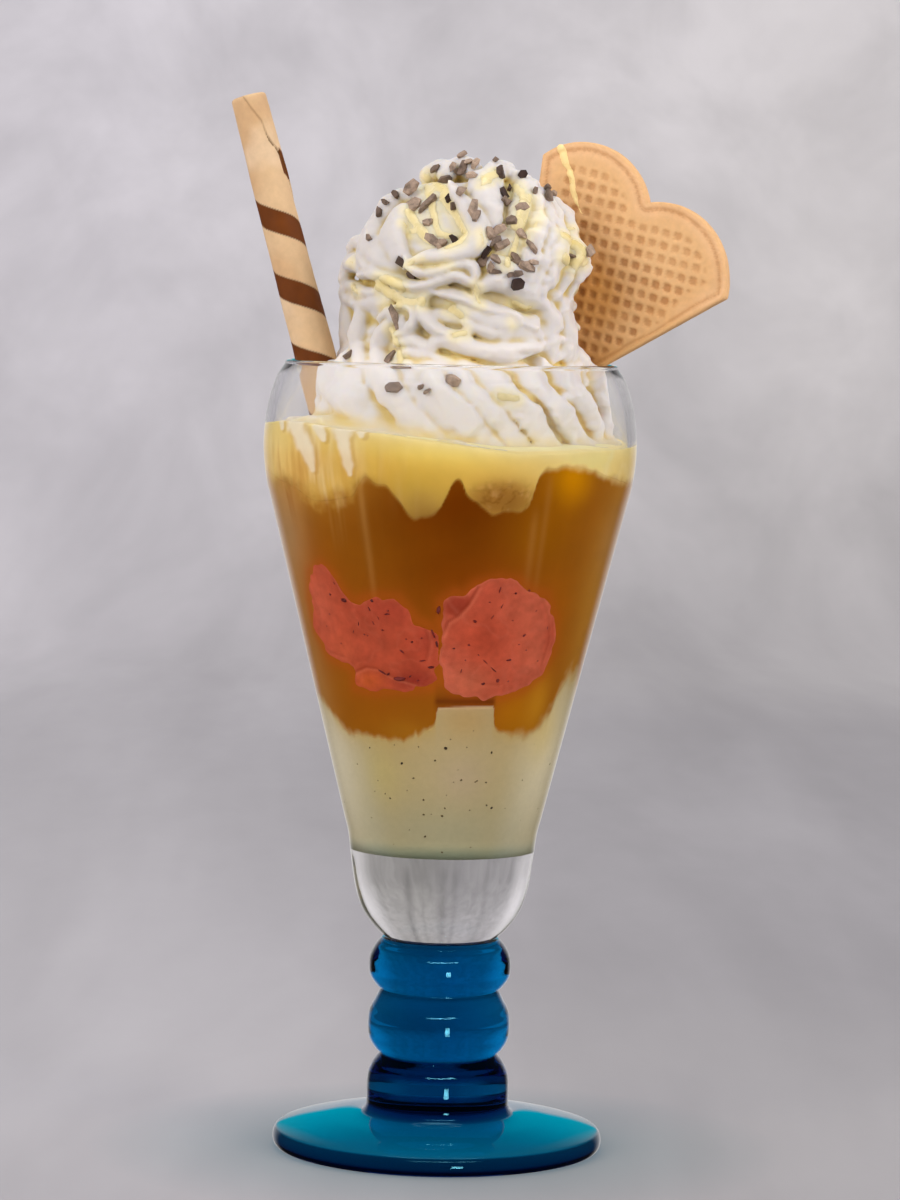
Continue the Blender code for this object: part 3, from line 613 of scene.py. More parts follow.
def glass_stem():
    upper = catmull(STEM[:6], 7)[:-1]
    middle = catmull(STEM[5:11], 7)[:-1]
    lower = catmull(STEM[10:14], 7)[:-1]
    step = catmull(STEM[13:] + FOOT, 7)
    profile = [(0.0, STEM_TOP), (6.0, STEM_TOP), (12.2, STEM_TOP), (13.2, STEM_TOP - 0.15)]
    profile += [tuple(p) for p in np.concatenate([upper, middle, lower, step])[1:]]
    profile += [(30.0, 0.0), (12.0, 0.0), (0.0, 0.0)]
    obj = turned("glass_stem_blue", profile, 180)
    n = len(obj.data.vertices)
    co = np.empty(n * 3, np.float32)
    obj.data.vertices.foreach_get("co", co)
    co = co.reshape(-1, 3) / MM
    r, z = np.hypot(co[:, 0], co[:, 1]), co[:, 2]
    tint = np.ones((n, 3))
    navy = np.array([0.03, 0.01, 0.06])
    # painted shade: a dark navy band round the side of the foot's rim
    rim = smooth(r, 37.8, 38.6) * smooth(-z, -4.9, -4.4) * smooth(z, 0.9, 1.5)
    tint += (navy - tint) * (rim * 0.95)[:, None]
    # painted shade: a darker line in each groove, and just under the shoulder of each ring
    for zc, w, amount in ((50.6, 0.5, 0.7), (38.2, 0.5, 0.75), (23.2, 0.5, 0.5), (9.2, 0.5, 0.6)):
        band = np.exp(-((z - zc) / w) ** 2) * (r > 11) * (r < 24)
        tint += (navy - tint) * (band * amount * 0.8)[:, None]
    az = np.degrees(np.arctan2(co[:, 0], -co[:, 1]))
    # painted shade: the middle of the third ring darker
    third = smooth(z, 9.8, 11.2) * smooth(-z, -21.5, -19.5) * (r > 11)
    heart_of_it = smooth(az, -36, -22) * smooth(-az, -24, -12)
    tint += (np.array([0.55, 0.4, 0.55]) - tint) * (third * heart_of_it * 0.6)[:, None]
    layer = obj.data.attributes.new("Paint", "FLOAT_COLOR", "POINT")
    layer.data.foreach_set("color", np.column_stack([tint, np.ones(n)]).astype(np.float32).ravel())
    m = Mat("blue_glass", (1.0, 1.0, 1.0), 0.0, Transmission_Weight=1.0, IOR=1.5)
    m.colour(m.attr("Paint"))
    m.set("Specular Tint", (0.22, 0.8, 1.0, 1.0))
    marks = m.noise(70.0, 4.0, 0.6)
    m.rough(marks, 0.0, 0.02)
    m.bump((m.noise(40.0, 2.0, 0.4), 0.00012, 0.1))
    volume = m.tree.nodes.new("ShaderNodeVolumeAbsorption")
    volume.inputs["Color"].default_value = (0.0, 0.765, 0.878, 1.0)
    volume.inputs["Density"].default_value = 300.0
    m.link(volume.outputs[0], m.out.inputs["Volume"])
    m.let_light_through((0.6, 0.92, 1.0))
    finish_piece(obj, m, ["glass_stem"])
    return obj


glass_bowl()
glass_stem()


# ================================================================= the layers in the bowl
def periodic(points, az):
    """A closed curve over the azimuth through (azimuth, height) points, straight between them."""
    pts = sorted(points)
    a = np.array([p[0] for p in pts], float)
    z = np.array([p[1] for p in pts], float)
    a = np.concatenate([[a[-1] - 360], a, [a[0] + 360]])
    z = np.concatenate([[z[-1]], z, [z[0]]])
    return np.interp(az, a, z)


def blur(values, n):
    """Circular smoothing over n samples each way."""
    if n <= 0:
        return values
    k = np.hanning(2 * n + 3)[1:-1]
    k /= k.sum()
    return np.convolve(np.concatenate([values[-n:], values, values[:n]]), k, "valid")


N_AZ = 600
AZ = np.linspace(-180, 180, N_AZ, endpoint=False)
_ring = at(AZ, np.full(N_AZ, 33.0), np.zeros(N_AZ))

VANILLA_EDGE = [(-68, 108), (-64, 105.3), (-54, 102.4), (-37, 102), (-21, 102), (-9, 103.8), (-4.6, 105.8), (-3.2, 110.2),
                (22.3, 110.4), (24.2, 105.3), (34.5, 103.2), (43.4, 103.5), (52.3, 105.9), (58.4, 109.5), (60.3, 113.3),
                (66, 116.4), (76, 115.5), (92, 109), (112, 104), (135, 107.5), (158, 109.5), (180, 106), (-158, 103),
                (-135, 106.5), (-112, 104.0), (-95, 108.5), (-80, 110.5)]
CUSTARD_TOP = [(-88, 174.7), (-65, 175.8), (-52, 175.6), (-39, 174.6), (-21, 173.7), (-3, 172.2), (9, 171), (21, 169.9),
               (35, 170), (51.5, 170.5), (77, 171), (110, 172.2), (140, 173.8), (180, 173), (-150, 174.5), (-115, 173.8)]
CUSTARD_EDGE = [(-82, 163.8), (-59, 161.1), (-49, 157.9), (-40, 158.3), (-32, 159.2), (-27, 164.3), (-23.9, 162.7), (-19.7, 162.2), (-15.8, 159.0),
                (-13.4, 156.2), (-10.9, 154.9), (-7.7, 155.2), (-4.9, 156.0), (-2.7, 157.4), (-0.6, 160.7), (0.8, 163.2),
                (2.5, 164.4), (4.1, 163.8), (5.1, 161.2), (7.0, 159.6), (9.6, 158.5), (11.5, 157.3), (13.6, 156.2), (16.1, 156.0),
                (18.6, 156.8), (21.3, 156.6), (24.0, 156.9), (26.2, 157.8), (27.2, 159.9), (27.9, 162.8), (29.0, 165.3), (31.4, 166.7),
                (43, 167.1), (52, 165.8), (65.6, 163.6), (77, 162.4), (90, 163.5), (104, 160.0), (112, 156.5), (120, 159.5),
                (131, 164.2), (146, 163.0), (155, 157.2), (162, 158.2), (170, 163.8), (-176, 165.5), (-160, 161.5),
                (-148, 156.8), (-138, 158.5), (-128, 163.9), (-110, 162.5), (-98, 159.8), (-90, 161.2)]


def edge(points, grain, coarse, seed, soften=1):
    base = blur(periodic(points, AZ), soften)
    return base + fbm(_ring, 7.0, 3, seed) * coarse + fbm(_ring, 1.5, 2, seed + 5) * grain


vanilla_edge = edge(VANILLA_EDGE, 0.55, 0.0, 3)
# the top of the block is cut straight, and the mixed stretch beside it is ragged
_block = smooth(AZ, -3.9, -3.2) * smooth(-AZ, -23.2, -22.4)
vanilla_edge = vanilla_edge * (1 - _block) + (110.25 + 0.012 * (AZ - 9)) * _block
_ragged = np.exp(-((AZ + 10.5) / 6.0) ** 2)
vanilla_edge = vanilla_edge + _ragged * fbm(_ring, 1.3, 2, 41) * 1.9 + np.exp(-((AZ + 30) / 16.0) ** 2) * fbm(_ring, 2.0, 2, 43) * 0.7
custard_edge = edge(CUSTARD_EDGE, 0.45, 0.35, 9)
custard_top = edge(CUSTARD_TOP, 0.10, 0.15, 15, 3)


def paint(base, patches, az, z, p):
    """base colour plus soft patches: (azimuth, z, half width, half height, colour, strength)."""
    out = np.tile(np.asarray(base, float), (len(az), 1))
    for pa, pz, wa, wz, colour, strength in patches:
        d = (az - pa + 180.0) % 360.0 - 180.0
        w = np.exp(-((d / wa) ** 2 + ((z - pz) / wz) ** 2)) * strength
        out = out + (np.asarray(colour) - out) * np.clip(w, 0, 1)[:, None]
    return out


def wall_rows(low, high, count, lift, ease=1.0):
    """Rows of the skin against the glass between two edges."""
    rows = []
    for t in np.linspace(0, 1, count):
        z = low + (high - low) * t ** ease
        rows.append(at(AZ, inner_radius(z) + lift, z))
    return rows


def inward_rows(z_edge, lift, centre_z, turn=1.0, fractions=(0.96, 0.86, 0.72, 0.55, 0.35, 0.15)):
    """Rows from an edge in over the surface of a layer to its middle."""
    r = inner_radius(z_edge)
    rows = [at(AZ, r + lift - 0.25, z_edge + 0.15 * turn), at(AZ, r - 0.7, z_edge + 0.3 * turn)]
    for f in fractions:
        z = centre_z + (z_edge - centre_z) * f ** 1.6
        rows.append(at(AZ, r * f, z + 0.3 * turn * f))
    return rows


def layer_piece(name, rows, colour_of):
    verts, faces = closed_grid(rows)
    az = np.degrees(np.arctan2(verts[:, 0], -verts[:, 1]))
    colours = colour_of(az, verts[:, 2], verts)
    return outward(make_mesh(name, verts, faces, np.clip(colours, 0.0, 1.0)))


def streaks(az, z, seed, cell=2.4, octaves=3, fall=0.04):
    """Noise drawn out down the glass."""
    return fbm(np.stack([az * 0.55, np.full_like(az, float(seed % 11)), z * fall], -1), cell, octaves, seed)


# How far the contents have mixed at an edge: (azimuth, half width in mm).
LOW_MIX = [(-180, 0.8), (-75, 2.0), (-60, 1.5), (-40, 0.9), (-14, 0.9), (-4.8, 0.6), (-3.4, 0.12), (22.4, 0.12), (24.4, 0.6), (36, 1.2),
           (46, 2.4), (66, 3.4), (80, 2.4), (180, 0.8)]
HIGH_MIX = [(-180, 1.2), (-95, 3.4), (-40, 3.6), (-27, 1.9), (-22, 0.55), (-1, 0.4), (27, 0.5), (32, 0.9), (50, 1.3), (90, 1.8), (180, 1.2)]


def mixed(z, edge_here, az, p, widths, seed):
    """0 below the edge and 1 above it, blurred and streaked as far as the two have run together."""
    w = np.interp(az, [q[0] for q in widths], [q[1] for q in widths])
    warp = streaks(az, z, seed, 5.5, 2, 0.3) * w * 0.8 + fbm(p, 2.6, 3, seed + 3) * w * 0.8
    return smooth(z - edge_here + warp, -w, w)


def scoop_distance(az, z):
    """Rough distance on the wall to the nearer pink scoop's outline, in mm."""
    best = np.full(len(az), 99.0)
    for outline in (LEFT_OUTLINE, RIGHT_OUTLINE):
        for a, b in zip(outline, outline[1:] + outline[:1]):
            a, b = np.array(a) * (0.52, 1.0), np.array(b) * (0.52, 1.0)
            q = np.stack([az * 0.52, z], -1) - a
            t = np.clip((q @ (b - a)) / max(float((b - a) @ (b - a)), 1e-9), 0, 1)
            best = np.minimum(best, np.linalg.norm(q - t[:, None] * (b - a), axis=1))
    return best


def vanilla_tone(az, z, p):
    edge_here = np.interp(az, AZ, vanilla_edge, period=360)
    block = smooth(az, -4.2, -3.0) * smooth(-az, -23.5, -22.0)
    # painted light: the pale patches at azimuth 65 and -72 brighten the sides, where the glass turns away
    out = paint(lin(171, 154, 112), [
        (0, 79, 60, 9, lin(156, 149, 118), 0.9), (0, 73.5, 90, 2.2, lin(138, 148, 122), 0.8),
        (10, 107, 14, 5.0, lin(172, 145, 95), 0.9), (-35, 94, 12, 8, lin(176, 160, 100), 0.6),
        (10, 93, 14, 6, lin(168, 150, 122), 0.7), (65, 95, 22, 16, lin(200, 184, 146), 0.9),
        (-72, 95, 18, 18, lin(200, 186, 152), 0.9), (56, 104, 12, 8, lin(196, 172, 110), 0.8)], az, z, p)
    near = np.exp(-np.clip(edge_here - z, 0, 9) / 2.2) * (1 - block)
    out += (lin(178, 146, 74) - out) * (near * 0.55)[:, None]
    rim = np.exp(-np.clip(edge_here - z, 0, 9) / 0.35) * block
    out += (lin(196, 160, 128) - out) * (rim * 0.6)[:, None]
    # painted reflection: the sides paler and bluer where the glass turns away
    side = smooth(np.abs(az), 28, 52)[:, None] * np.array([0.03, 0.10, 0.26])
    return out * (1 + side) * (1.36 * (1 + 0.035 * fbm(p, 9.0, 4, 61) + 0.02 * fbm(p, 1.2, 2, 67)))[:, None]


def amber_tone(az, z, p):
    # painted light and shade: darker in the middle at the front and at the back, standing for light lost in the deep
    # sauce; an orange glow at the upper right; paler towards both sides, where the glass turns away
    out = paint(lin(144, 86, 16), [
        (2, 158, 30, 13, lin(104, 48, 0), 1.0), (4, 140, 26, 14, lin(112, 53, 1), 0.95),
        (-12, 130, 24, 9, lin(124, 66, 8), 0.5),
        (42, 164, 8, 6, lin(202, 134, 2), 1.0), (34, 152, 12, 10, lin(152, 92, 5), 0.7),
        (-30, 106, 22, 6, lin(146, 86, 14), 0.7), (-20, 104, 12, 3.0, lin(160, 108, 26), 0.5),
        (34, 110, 12, 7, lin(170, 108, 12), 0.9), (46, 112, 7, 7, lin(186, 130, 28), 0.8),
        (46, 133, 7, 9, lin(160, 92, 8), 0.6), (-60, 128, 9, 10, lin(158, 98, 28), 0.6),
        (-48, 164, 18, 7, lin(184, 132, 50), 0.85), (-70, 165, 12, 14, lin(196, 158, 98), 0.8),
        (-76, 138, 14, 40, lin(176, 130, 72), 0.85), (72, 140, 14, 34, lin(172, 120, 40), 0.9),
        (88, 150, 12, 60, lin(172, 132, 66), 0.7), (-90, 150, 12, 60, lin(180, 146, 100), 0.7),
        (150, 150, 50, 16, lin(118, 60, 4), 0.8), (-140, 125, 40, 16, lin(124, 66, 8), 0.7)], az, z, p)
    # slow vertical streaks, more of them where the custard runs down at the left
    out *= (1 + 0.06 * streaks(az, z, 77, 2.4, 3, 0.03) * smooth(z, 118, 150) + 0.03 * fbm(p, 12, 3, 79))[:, None]
    left = smooth(z, 144, 162) * np.exp(-((az + 55) / 22) ** 2)
    out += (lin(200, 156, 86) - out) * (np.clip(streaks(az, z, 83, 2.2, 3, 0.05) * 2.2, 0, 1) * left * 0.8)[:, None]
    out += (lin(150, 92, 26) - out) * (np.clip(-streaks(az, z, 87, 1.8, 3, 0.06) * 2.2, 0, 1) * left * 0.7)[:, None]
    # painted reflections: faint pale vertical streaks of sheen on the glass at azimuth -28.5, 29.5 and 33.5
    for pa, w, top, bottom, amount in ((-28.5, 1.3, 164, 126, 0.34), (29.5, 1.5, 158, 139, 0.26), (33.5, 1.2, 166, 138, 0.2)):
        s = np.exp(-((az - pa - (150 - z) * 0.04) / w) ** 2) * smooth(z, bottom - 6, bottom + 4) * smooth(-z, -top - 2, -top + 6)
        out += (lin(176, 128, 62) - out) * (s * amount)[:, None]
    # a warmer halo round the pink scoops
    halo = scoop_distance(az, z)
    out += (lin(152, 78, 14) - out) * (np.exp(-(halo / 6.0) ** 2) * 0.3)[:, None]
    out += (lin(168, 80, 24) - out) * (np.exp(-(halo / 1.6) ** 2) * 0.5)[:, None]
    # painted shade: a dark strip in the gap above the cut top of the vanilla block
    gap = smooth(az, -6.0, -3.0) * smooth(-az, -24.5, -21.5) * np.exp(-np.clip(np.abs(z - 111.5), 0, 9) / 1.6)
    out += (lin(98, 44, 10) - out) * (gap * 0.95)[:, None]
    # paler at both sides, around azimuth -72 and 74
    haze = np.exp(-((az + 72) / 12) ** 2 - ((z - 150) / 9) ** 2) * 0.55 + np.exp(-((az - 74) / 10) ** 2 - ((z - 150) / 9) ** 2) * 0.25
    out += (lin(168, 136, 96) - out) * haze[:, None]
    return out * 1.31


# Whipped cream that has run down between the custard and the glass: (azimuth, height, half width).
RUNS = [[(-59.5, 177.4, 3.4), (-55.5, 174.2, 3.1), (-52.2, 171.6, 2.8), (-49.8, 169.2, 2.3), (-48.4, 167.0, 1.7), (-47.8, 165.4, 1.0)],
        [(-37.2, 177.9, 3.6), (-36.0, 174.8, 3.0), (-35.0, 172.2, 1.7), (-34.2, 169.2, 1.5), (-33.3, 166.6, 1.4), (-32.7, 164.6, 0.7)],
        [(-46.5, 175.8, 1.6), (-43.6, 173.4, 1.4), (-42.9, 172.4, 0.9)], [(-66, 176.4, 1.6), (-65, 174.6, 1.0)], [(-29.5, 175.6, 1.6), (-28.6, 173.6, 0.9)]]


def run_depth(az, z):
    """How far inside a run of cream a point on the wall lies, from 1 at its middle to below 0 outside."""
    best = np.full(len(az), -9.0)
    for line in RUNS:
        for a, b in zip(line, line[1:]):
            pa, pb = np.array([a[0] * 0.66, a[1]]), np.array([b[0] * 0.66, b[1]])
            q = np.stack([az * 0.66, z], -1) - pa
            t = np.clip((q @ (pb - pa)) / float((pb - pa) @ (pb - pa)), 0, 1)
            gap = np.linalg.norm(q - t[:, None] * (pb - pa), axis=1)
            best = np.maximum(best, 1 - gap / (a[2] + (b[2] - a[2]) * t))
    return best


def custard_tone(az, z, p):
    top = np.interp(az, AZ, custard_top, period=360)
    low = np.interp(az, AZ, custard_edge, period=360)
    out = paint(lin(214, 176, 78), [
        (0, 170, 22, 3.6, lin(224, 192, 88), 1.0), (-10, 163, 12, 4.5, lin(200, 164, 66), 0.9),
        (-8, 158, 9, 4.5, lin(176, 140, 64), 0.95), (-6, 155, 8, 2.5, lin(148, 108, 46), 0.9),
        (18, 163, 12, 3.0, lin(190, 146, 64), 0.7),
        (-32, 168, 7, 5, lin(216, 176, 88), 0.8), (52, 168, 24, 6, lin(242, 220, 142), 1.0),
        (80, 166, 16, 9, lin(224, 200, 136), 0.9), (-50, 166, 15, 8, lin(214, 174, 98), 0.85),
        (-72, 168, 14, 9, lin(230, 202, 132), 0.9), (150, 168, 60, 6, lin(220, 184, 84), 0.6)], az, z, p)
    # pale band along the top, where whipped cream has melted in
    pale = np.exp(-np.clip(top - z, 0, 20) / 1.9)
    out += (lin(231, 208, 140) - out) * (pale * 0.8)[:, None]
    # the lumpy beige froth hanging under the layer
    foam = np.exp(-(((az - 16.8) / 12.4) ** 2 + ((z - 159.2) / 4.6) ** 2) ** 2)
    foam = np.maximum(foam, np.exp(-(((az + 27) / 6.0) ** 2 + ((z - 161) / 3.2) ** 2) ** 2) * 0.7)
    foam = np.maximum(foam, np.exp(-(((az + 64) / 13.0) ** 2 + ((z - 160.0) / 3.5) ** 2) ** 2) * 0.7)
    vein = np.clip(1 - np.abs(fbm(p, 2.4, 3, 97)) * 7.0, 0, 1)
    froth = lin(153, 106, 42)[None] * (1 + 0.16 * fbm(p, 3.2, 3, 101))[:, None]
    froth = froth + (lin(184, 140, 82) - froth) * np.clip(fbm(p, 1.6, 3, 99) * 1.6, 0, 0.7)[:, None]
    froth = froth + (lin(112, 66, 16) - froth) * (vein * 0.6)[:, None]
    out += (froth - out) * np.clip(foam, 0, 1)[:, None] * 0.97
    tip = np.exp(-np.clip(z - low, 0, 20) / 0.9) * np.exp(-((az + 11) / 14) ** 2)
    out += (lin(150, 106, 44) - out) * (tip * 0.45)[:, None]
    # smears running down the glass at the left
    run = np.exp(-((az + 52) / 24) ** 2)
    out += (lin(186, 128, 52) - out) * (np.clip(streaks(az, z, 103, 1.9, 3, 0.10) * 2.4, 0, 1) * run * 0.75 * smooth(-z, -174, -167))[:, None]
    out += (lin(232, 212, 160) - out) * (np.clip(streaks(az, z, 105, 1.6, 3, 0.08) * 2.4 - 0.2, 0, 1) * run * 0.6)[:, None]
    side = np.exp(-((az - 62) / 20) ** 2)
    out += (lin(238, 218, 158) - out) * (np.clip(fbm(p, 3.0, 3, 109) * 2.0, 0, 1) * side * 0.5)[:, None]
    out *= (1 + 0.03 * fbm(p, 6, 3, 107))[:, None]
    # runs of cream on the glass, each with a soft darker line beside it painted as its shadow
    d = run_depth(az - 0.35, z)
    out += (lin(184, 138, 70) - out) * (smooth(run_depth(az - 1.6, z + 0.3), -0.35, 0.3) * 0.4)[:, None]
    d = d + 0.25 * fbm(p, 1.8, 2, 113)
    out += (lin(232, 216, 184) - out) * (smooth(d, -0.15, 0.55) * 0.85)[:, None]
    # the top surface of the layer, where cream has run
    r = np.hypot(p[:, 0], p[:, 1])
    inside = smooth(inner_radius(z) - r, 1.0, 5.0) * smooth(z, 168, 171)
    out += (lin(236, 222, 176) - out) * (inside * 0.6)[:, None]
    upper = smooth(z, 167.0, 171.5)[:, None] * np.array([0.03, 0.09, 0.19])
    return out * (1 + upper) * 1.22


def contents_colour(az, z, p):
    """One colour for all the layers, so that two pieces meet in the same tone."""
    out = amber_tone(az, z, p)
    low = mixed(z, np.interp(az, AZ, vanilla_edge, period=360), az, p, LOW_MIX, 141)
    high = mixed(z, np.interp(az, AZ, custard_edge, period=360), az, p, HIGH_MIX, 149)
    out = vanilla_tone(az, z, p) * (1 - low)[:, None] + out * low[:, None]
    return out * (1 - high)[:, None] + custard_tone(az, z, p) * high[:, None]


def vanilla():
    z0 = FLOOR_Z
    rf = float(inner_radius(z0 + 4))
    lift = 0.2
    rows = [at(AZ, np.full(N_AZ, r), np.full(N_AZ, z0 - lift)) for r in np.linspace(1.0, rf - 4.4, 5)]
    rows += [at(AZ, np.full(N_AZ, rf - 4.2 + (4.2 + lift) * math.sin(t)), np.full(N_AZ, z0 + 4.0 - (4.0 + lift) * math.cos(t)))
             for t in np.radians(np.linspace(8, 90, 9))]
    rows += wall_rows(np.full(N_AZ, z0 + 4.6), vanilla_edge - 0.25, 60, lift, 0.85)
    rows += inward_rows(vanilla_edge, lift, 106.0)
    obj = layer_piece("vanilla_scoop_fill", rows, contents_colour)
    m = Mat("vanilla_ice", rough=0.5, Specular_IOR_Level=0.0)
    grain = m.noise(900.0, 3.0, 0.6)
    m.colour(m.vary(m.attr("Paint"), grain, 0.975, 1.025))
    m.rough(grain, 0.42, 0.6)
    m.bump((grain, 0.00008, 0.35))
    finish_piece(obj, m, ["vanilla_ice_cream"])
    return obj


def amber():
    lift = 0.1
    low = np.minimum(vanilla_edge - 5.0, 101.0)
    high = np.minimum(168.6, custard_top - 1.2)
    rows = [at(AZ, inner_radius(low) * f, low) for f in (0.12, 0.4, 0.7, 0.92)]
    rows += wall_rows(low, high, 140, lift)
    rows += [at(AZ, inner_radius(high) * f, high) for f in (0.94, 0.7, 0.4, 0.12)]
    obj = layer_piece("amber_sauce_fill", rows, contents_colour)
    m = Mat("amber_sauce_mat", rough=0.4, Specular_IOR_Level=0.0)
    cloud = m.noise(120.0, 4.0, 0.55, 0.3)
    m.colour(m.vary(m.attr("Paint"), cloud, 0.965, 1.035))
    m.rough(cloud, 0.3, 0.5)
    m.bump((cloud, 0.00008, 0.2))
    finish_piece(obj, m, ["amber_sauce"])
    return obj


def custard():
    lift = 0.2
    rows = inward_rows(custard_edge, lift, 165.0, turn=-1.0)[::-1]
    rows += wall_rows(custard_edge + 0.2, custard_top - 0.2, 60, lift)
    rows += inward_rows(custard_top, lift, 173.4, fractions=(0.96, 0.92, 0.86, 0.78, 0.7, 0.6, 0.45, 0.3, 0.15))
    obj = layer_piece("custard_layer", rows, contents_colour)
    m = Mat("custard_mat", rough=0.35, Specular_IOR_Level=0.0)
    cloud = m.noise(260.0, 3.0, 0.55, 0.2)
    m.colour(m.vary(m.attr("Paint"), cloud, 0.975, 1.025))
    m.rough(cloud, 0.25, 0.45)
    m.bump((cloud, 0.0001, 0.25))
    finish_piece(obj, m, ["custard_sauce"])
    return obj


# ----------------------------------------------------------------- strawberry scoops
LEFT_OUTLINE = [(-3.1, 125), (-5.4, 129), (-11.7, 130.8), (-18.8, 136.1), (-26.5, 136.3), (-36.6, 134.8), (-41.8, 136.5),
                (-46.7, 141), (-50.8, 143), (-59.8, 140.5), (-64.7, 133.6), (-65.1, 126.4), (-58, 120.7), (-45.4, 118.9),
                (-42.5, 117), (-43.7, 113.6), (-32.6, 113.0), (-21.5, 113.8), (-12.7, 114.1), (-6.3, 114.7), (-2.2, 117.9)]
RIGHT_OUTLINE = [(-2.2, 131), (-1.5, 135.5), (2.7, 137.6), (6.3, 137), (11.3, 139.9), (18.3, 141.1), (25.9, 140.6),
                 (32.5, 138.1), (39.6, 136.8), (46.3, 130.7), (49.5, 123.4), (45.4, 117.5), (35.7, 114.1), (23.9, 112.4),
                 (15, 111.9), (4.2, 113.1), (-2.0, 116.7), (-3.3, 124.5)]


def scoop(name, outline, centre, lift, depth, seed, colour_of, node, ragged=0.75):
    ca, cz = centre
    curve = catmull(outline, 14, closed=True)
    step = np.linalg.norm(np.diff(np.concatenate([curve, curve[:1]]) * np.array([0.6, 1.0]), axis=0), axis=1)
    dist = np.concatenate([[0], np.cumsum(step)])
    n = 300
    s = np.linspace(0, dist[-1], n, endpoint=False)
    closed = np.concatenate([curve, curve[:1]])
    oa, oz = np.interp(s, dist, closed[:, 0]), np.interp(s, dist, closed[:, 1])
    pts = at(oa, inner_radius(oz), oz)
    wob = 1 + (fbm(pts, 4.0, 2, seed) * 0.07 + fbm(pts, 2.3, 2, seed + 3) * 0.085 * ragged)
    oa, oz = ca + (oa - ca) * wob, cz + (oz - cz) * wob
    rows = []
    for t in np.concatenate([np.linspace(0.03, 0.9, 34), np.linspace(0.92, 1.0, 8)]):
        az, z = ca + (oa - ca) * t, cz + (oz - cz) * t
        relief = fbm(at(az, inner_radius(z), z), 2.6, 3, seed + 7) * 0.05
        inward = np.clip((t - 0.93) / 0.07, 0, 1) ** 2 * 0.5
        rows.append(at(az, inner_radius(z) + lift + relief * (t < 0.95) - inward, z))
    for k, t in enumerate(np.radians([14, 28, 42, 56, 70, 82])):
        f = math.cos(t) ** 0.6
        az, z = ca + (oa - ca) * f, cz + (oz - cz) * f
        lump = 1 + 0.10 * fbm(at(az, inner_radius(z), z), 7.0, 2, seed + 9)
        rows.append(at(az, inner_radius(z) - 0.4 - depth * math.sin(t) * lump, z))
    verts, faces = closed_grid(rows)
    verts[-2] = at(np.array([ca]), inner_radius(np.array([cz])) + lift, np.array([cz]))[0]
    az = np.degrees(np.arctan2(verts[:, 0], -verts[:, 1]))
    t_all = np.concatenate([np.repeat(np.concatenate([np.linspace(0.03, 0.9, 34), np.linspace(0.92, 1.0, 8), np.ones(6)]), n), [0, 1]])
    colours = colour_of(az, verts[:, 2], verts, t_all)
    obj = outward(make_mesh(name, verts, faces, np.clip(colours, 0, 1)))
    m = Mat(name + "_mat", rough=0.5, Specular_IOR_Level=0.0)
    grain = m.noise(700.0, 4.0, 0.6)
    m.colour(m.vary(m.attr("Paint"), grain, 1.30, 1.42))
    m.rough(grain, 0.4, 0.6)
    m.bump((grain, 0.0001, 0.4), (m.noise(160.0, 3.0, 0.5), 0.0003, 0.2))
    return finish_piece(obj, m, [node])


def near_line(az, z, line, shift=(0.0, 0.0)):
    """Distance in mm on the wall to a polyline of (azimuth, height) points moved by shift mm."""
    best = np.full(len(az), 99.0)
    for a, b in zip(line, line[1:]):
        pa = np.array([a[0] * 0.52 + shift[0], a[1] + shift[1]])
        pb = np.array([b[0] * 0.52 + shift[0], b[1] + shift[1]])
        q = np.stack([az * 0.52, z], -1) - pa
        t = np.clip((q @ (pb - pa)) / float((pb - pa) @ (pb - pa)), 0, 1)
        best = np.minimum(best, np.linalg.norm(q - t[:, None] * (pb - pa), axis=1))
    return best


def creases(out, az, z, lines):
    """Painted shade along folds, with a painted highlight on the lip under them: (points, half width, strength)."""
    for line, w, strength in lines:
        out = out + (lin(126, 44, 26) - out) * (np.exp(-(near_line(az, z, line) / w) ** 2) * strength)[:, None]
        out = out + (lin(202, 112, 82) - out) * (np.exp(-(near_line(az, z, line, (0.5, -0.45)) / w) ** 2) * strength * 0.6)[:, None]
    return out


def left_colour(az, z, p, t):
    out = paint(lin(168, 74, 49), [
        (-56, 133, 10, 9, lin(186, 92, 66), 0.9), (-34, 128, 12, 7, lin(170, 78, 54), 0.6), (-10, 123, 9, 7, lin(164, 68, 46), 0.8),
        (-22, 133, 12, 3.5, lin(170, 70, 50), 0.7), (-36, 115.5, 9, 2.6, lin(184, 86, 42), 0.9),
        (-14, 116.2, 9, 2.2, lin(132, 44, 34), 0.8), (-47, 122, 8, 4, lin(182, 88, 58), 0.7), (-6, 127, 5, 4, lin(150, 60, 44), 0.6)], az, z, p)
    out *= (1 + 0.26 * fbm(p, 3.4, 3, 121) + 0.10 * fbm(p, 1.0, 2, 127))[:, None]
    vein = np.clip(1 - np.abs(fbm(p, 6.0, 3, 129)) * 9.0, 0, 1)
    out += (lin(196, 108, 82) - out) * (vein * 0.12)[:, None]
    # painted shade in the folds, painted highlight on their lips
    out = creases(out, az, z, [([(-44, 117.2), (-36, 119.0), (-30, 118.8), (-24, 117.0), (-14, 115.6)], 0.35, 0.55),
                               ([(-46, 140), (-43.5, 136.5), (-38, 134.5), (-33, 134.9)], 0.4, 0.4),
                               ([(-64, 124.5), (-56, 121.8), (-47, 121.0)], 0.45, 0.3),
                               ([(-8, 129.5), (-6.5, 125.5), (-8, 121.5)], 0.4, 0.35)])
    rim = smooth(t, 0.86, 0.99)
    return out + (lin(192, 96, 60) - out) * (rim * 0.2 * (1 + fbm(p, 3.0, 2, 143)))[:, None]


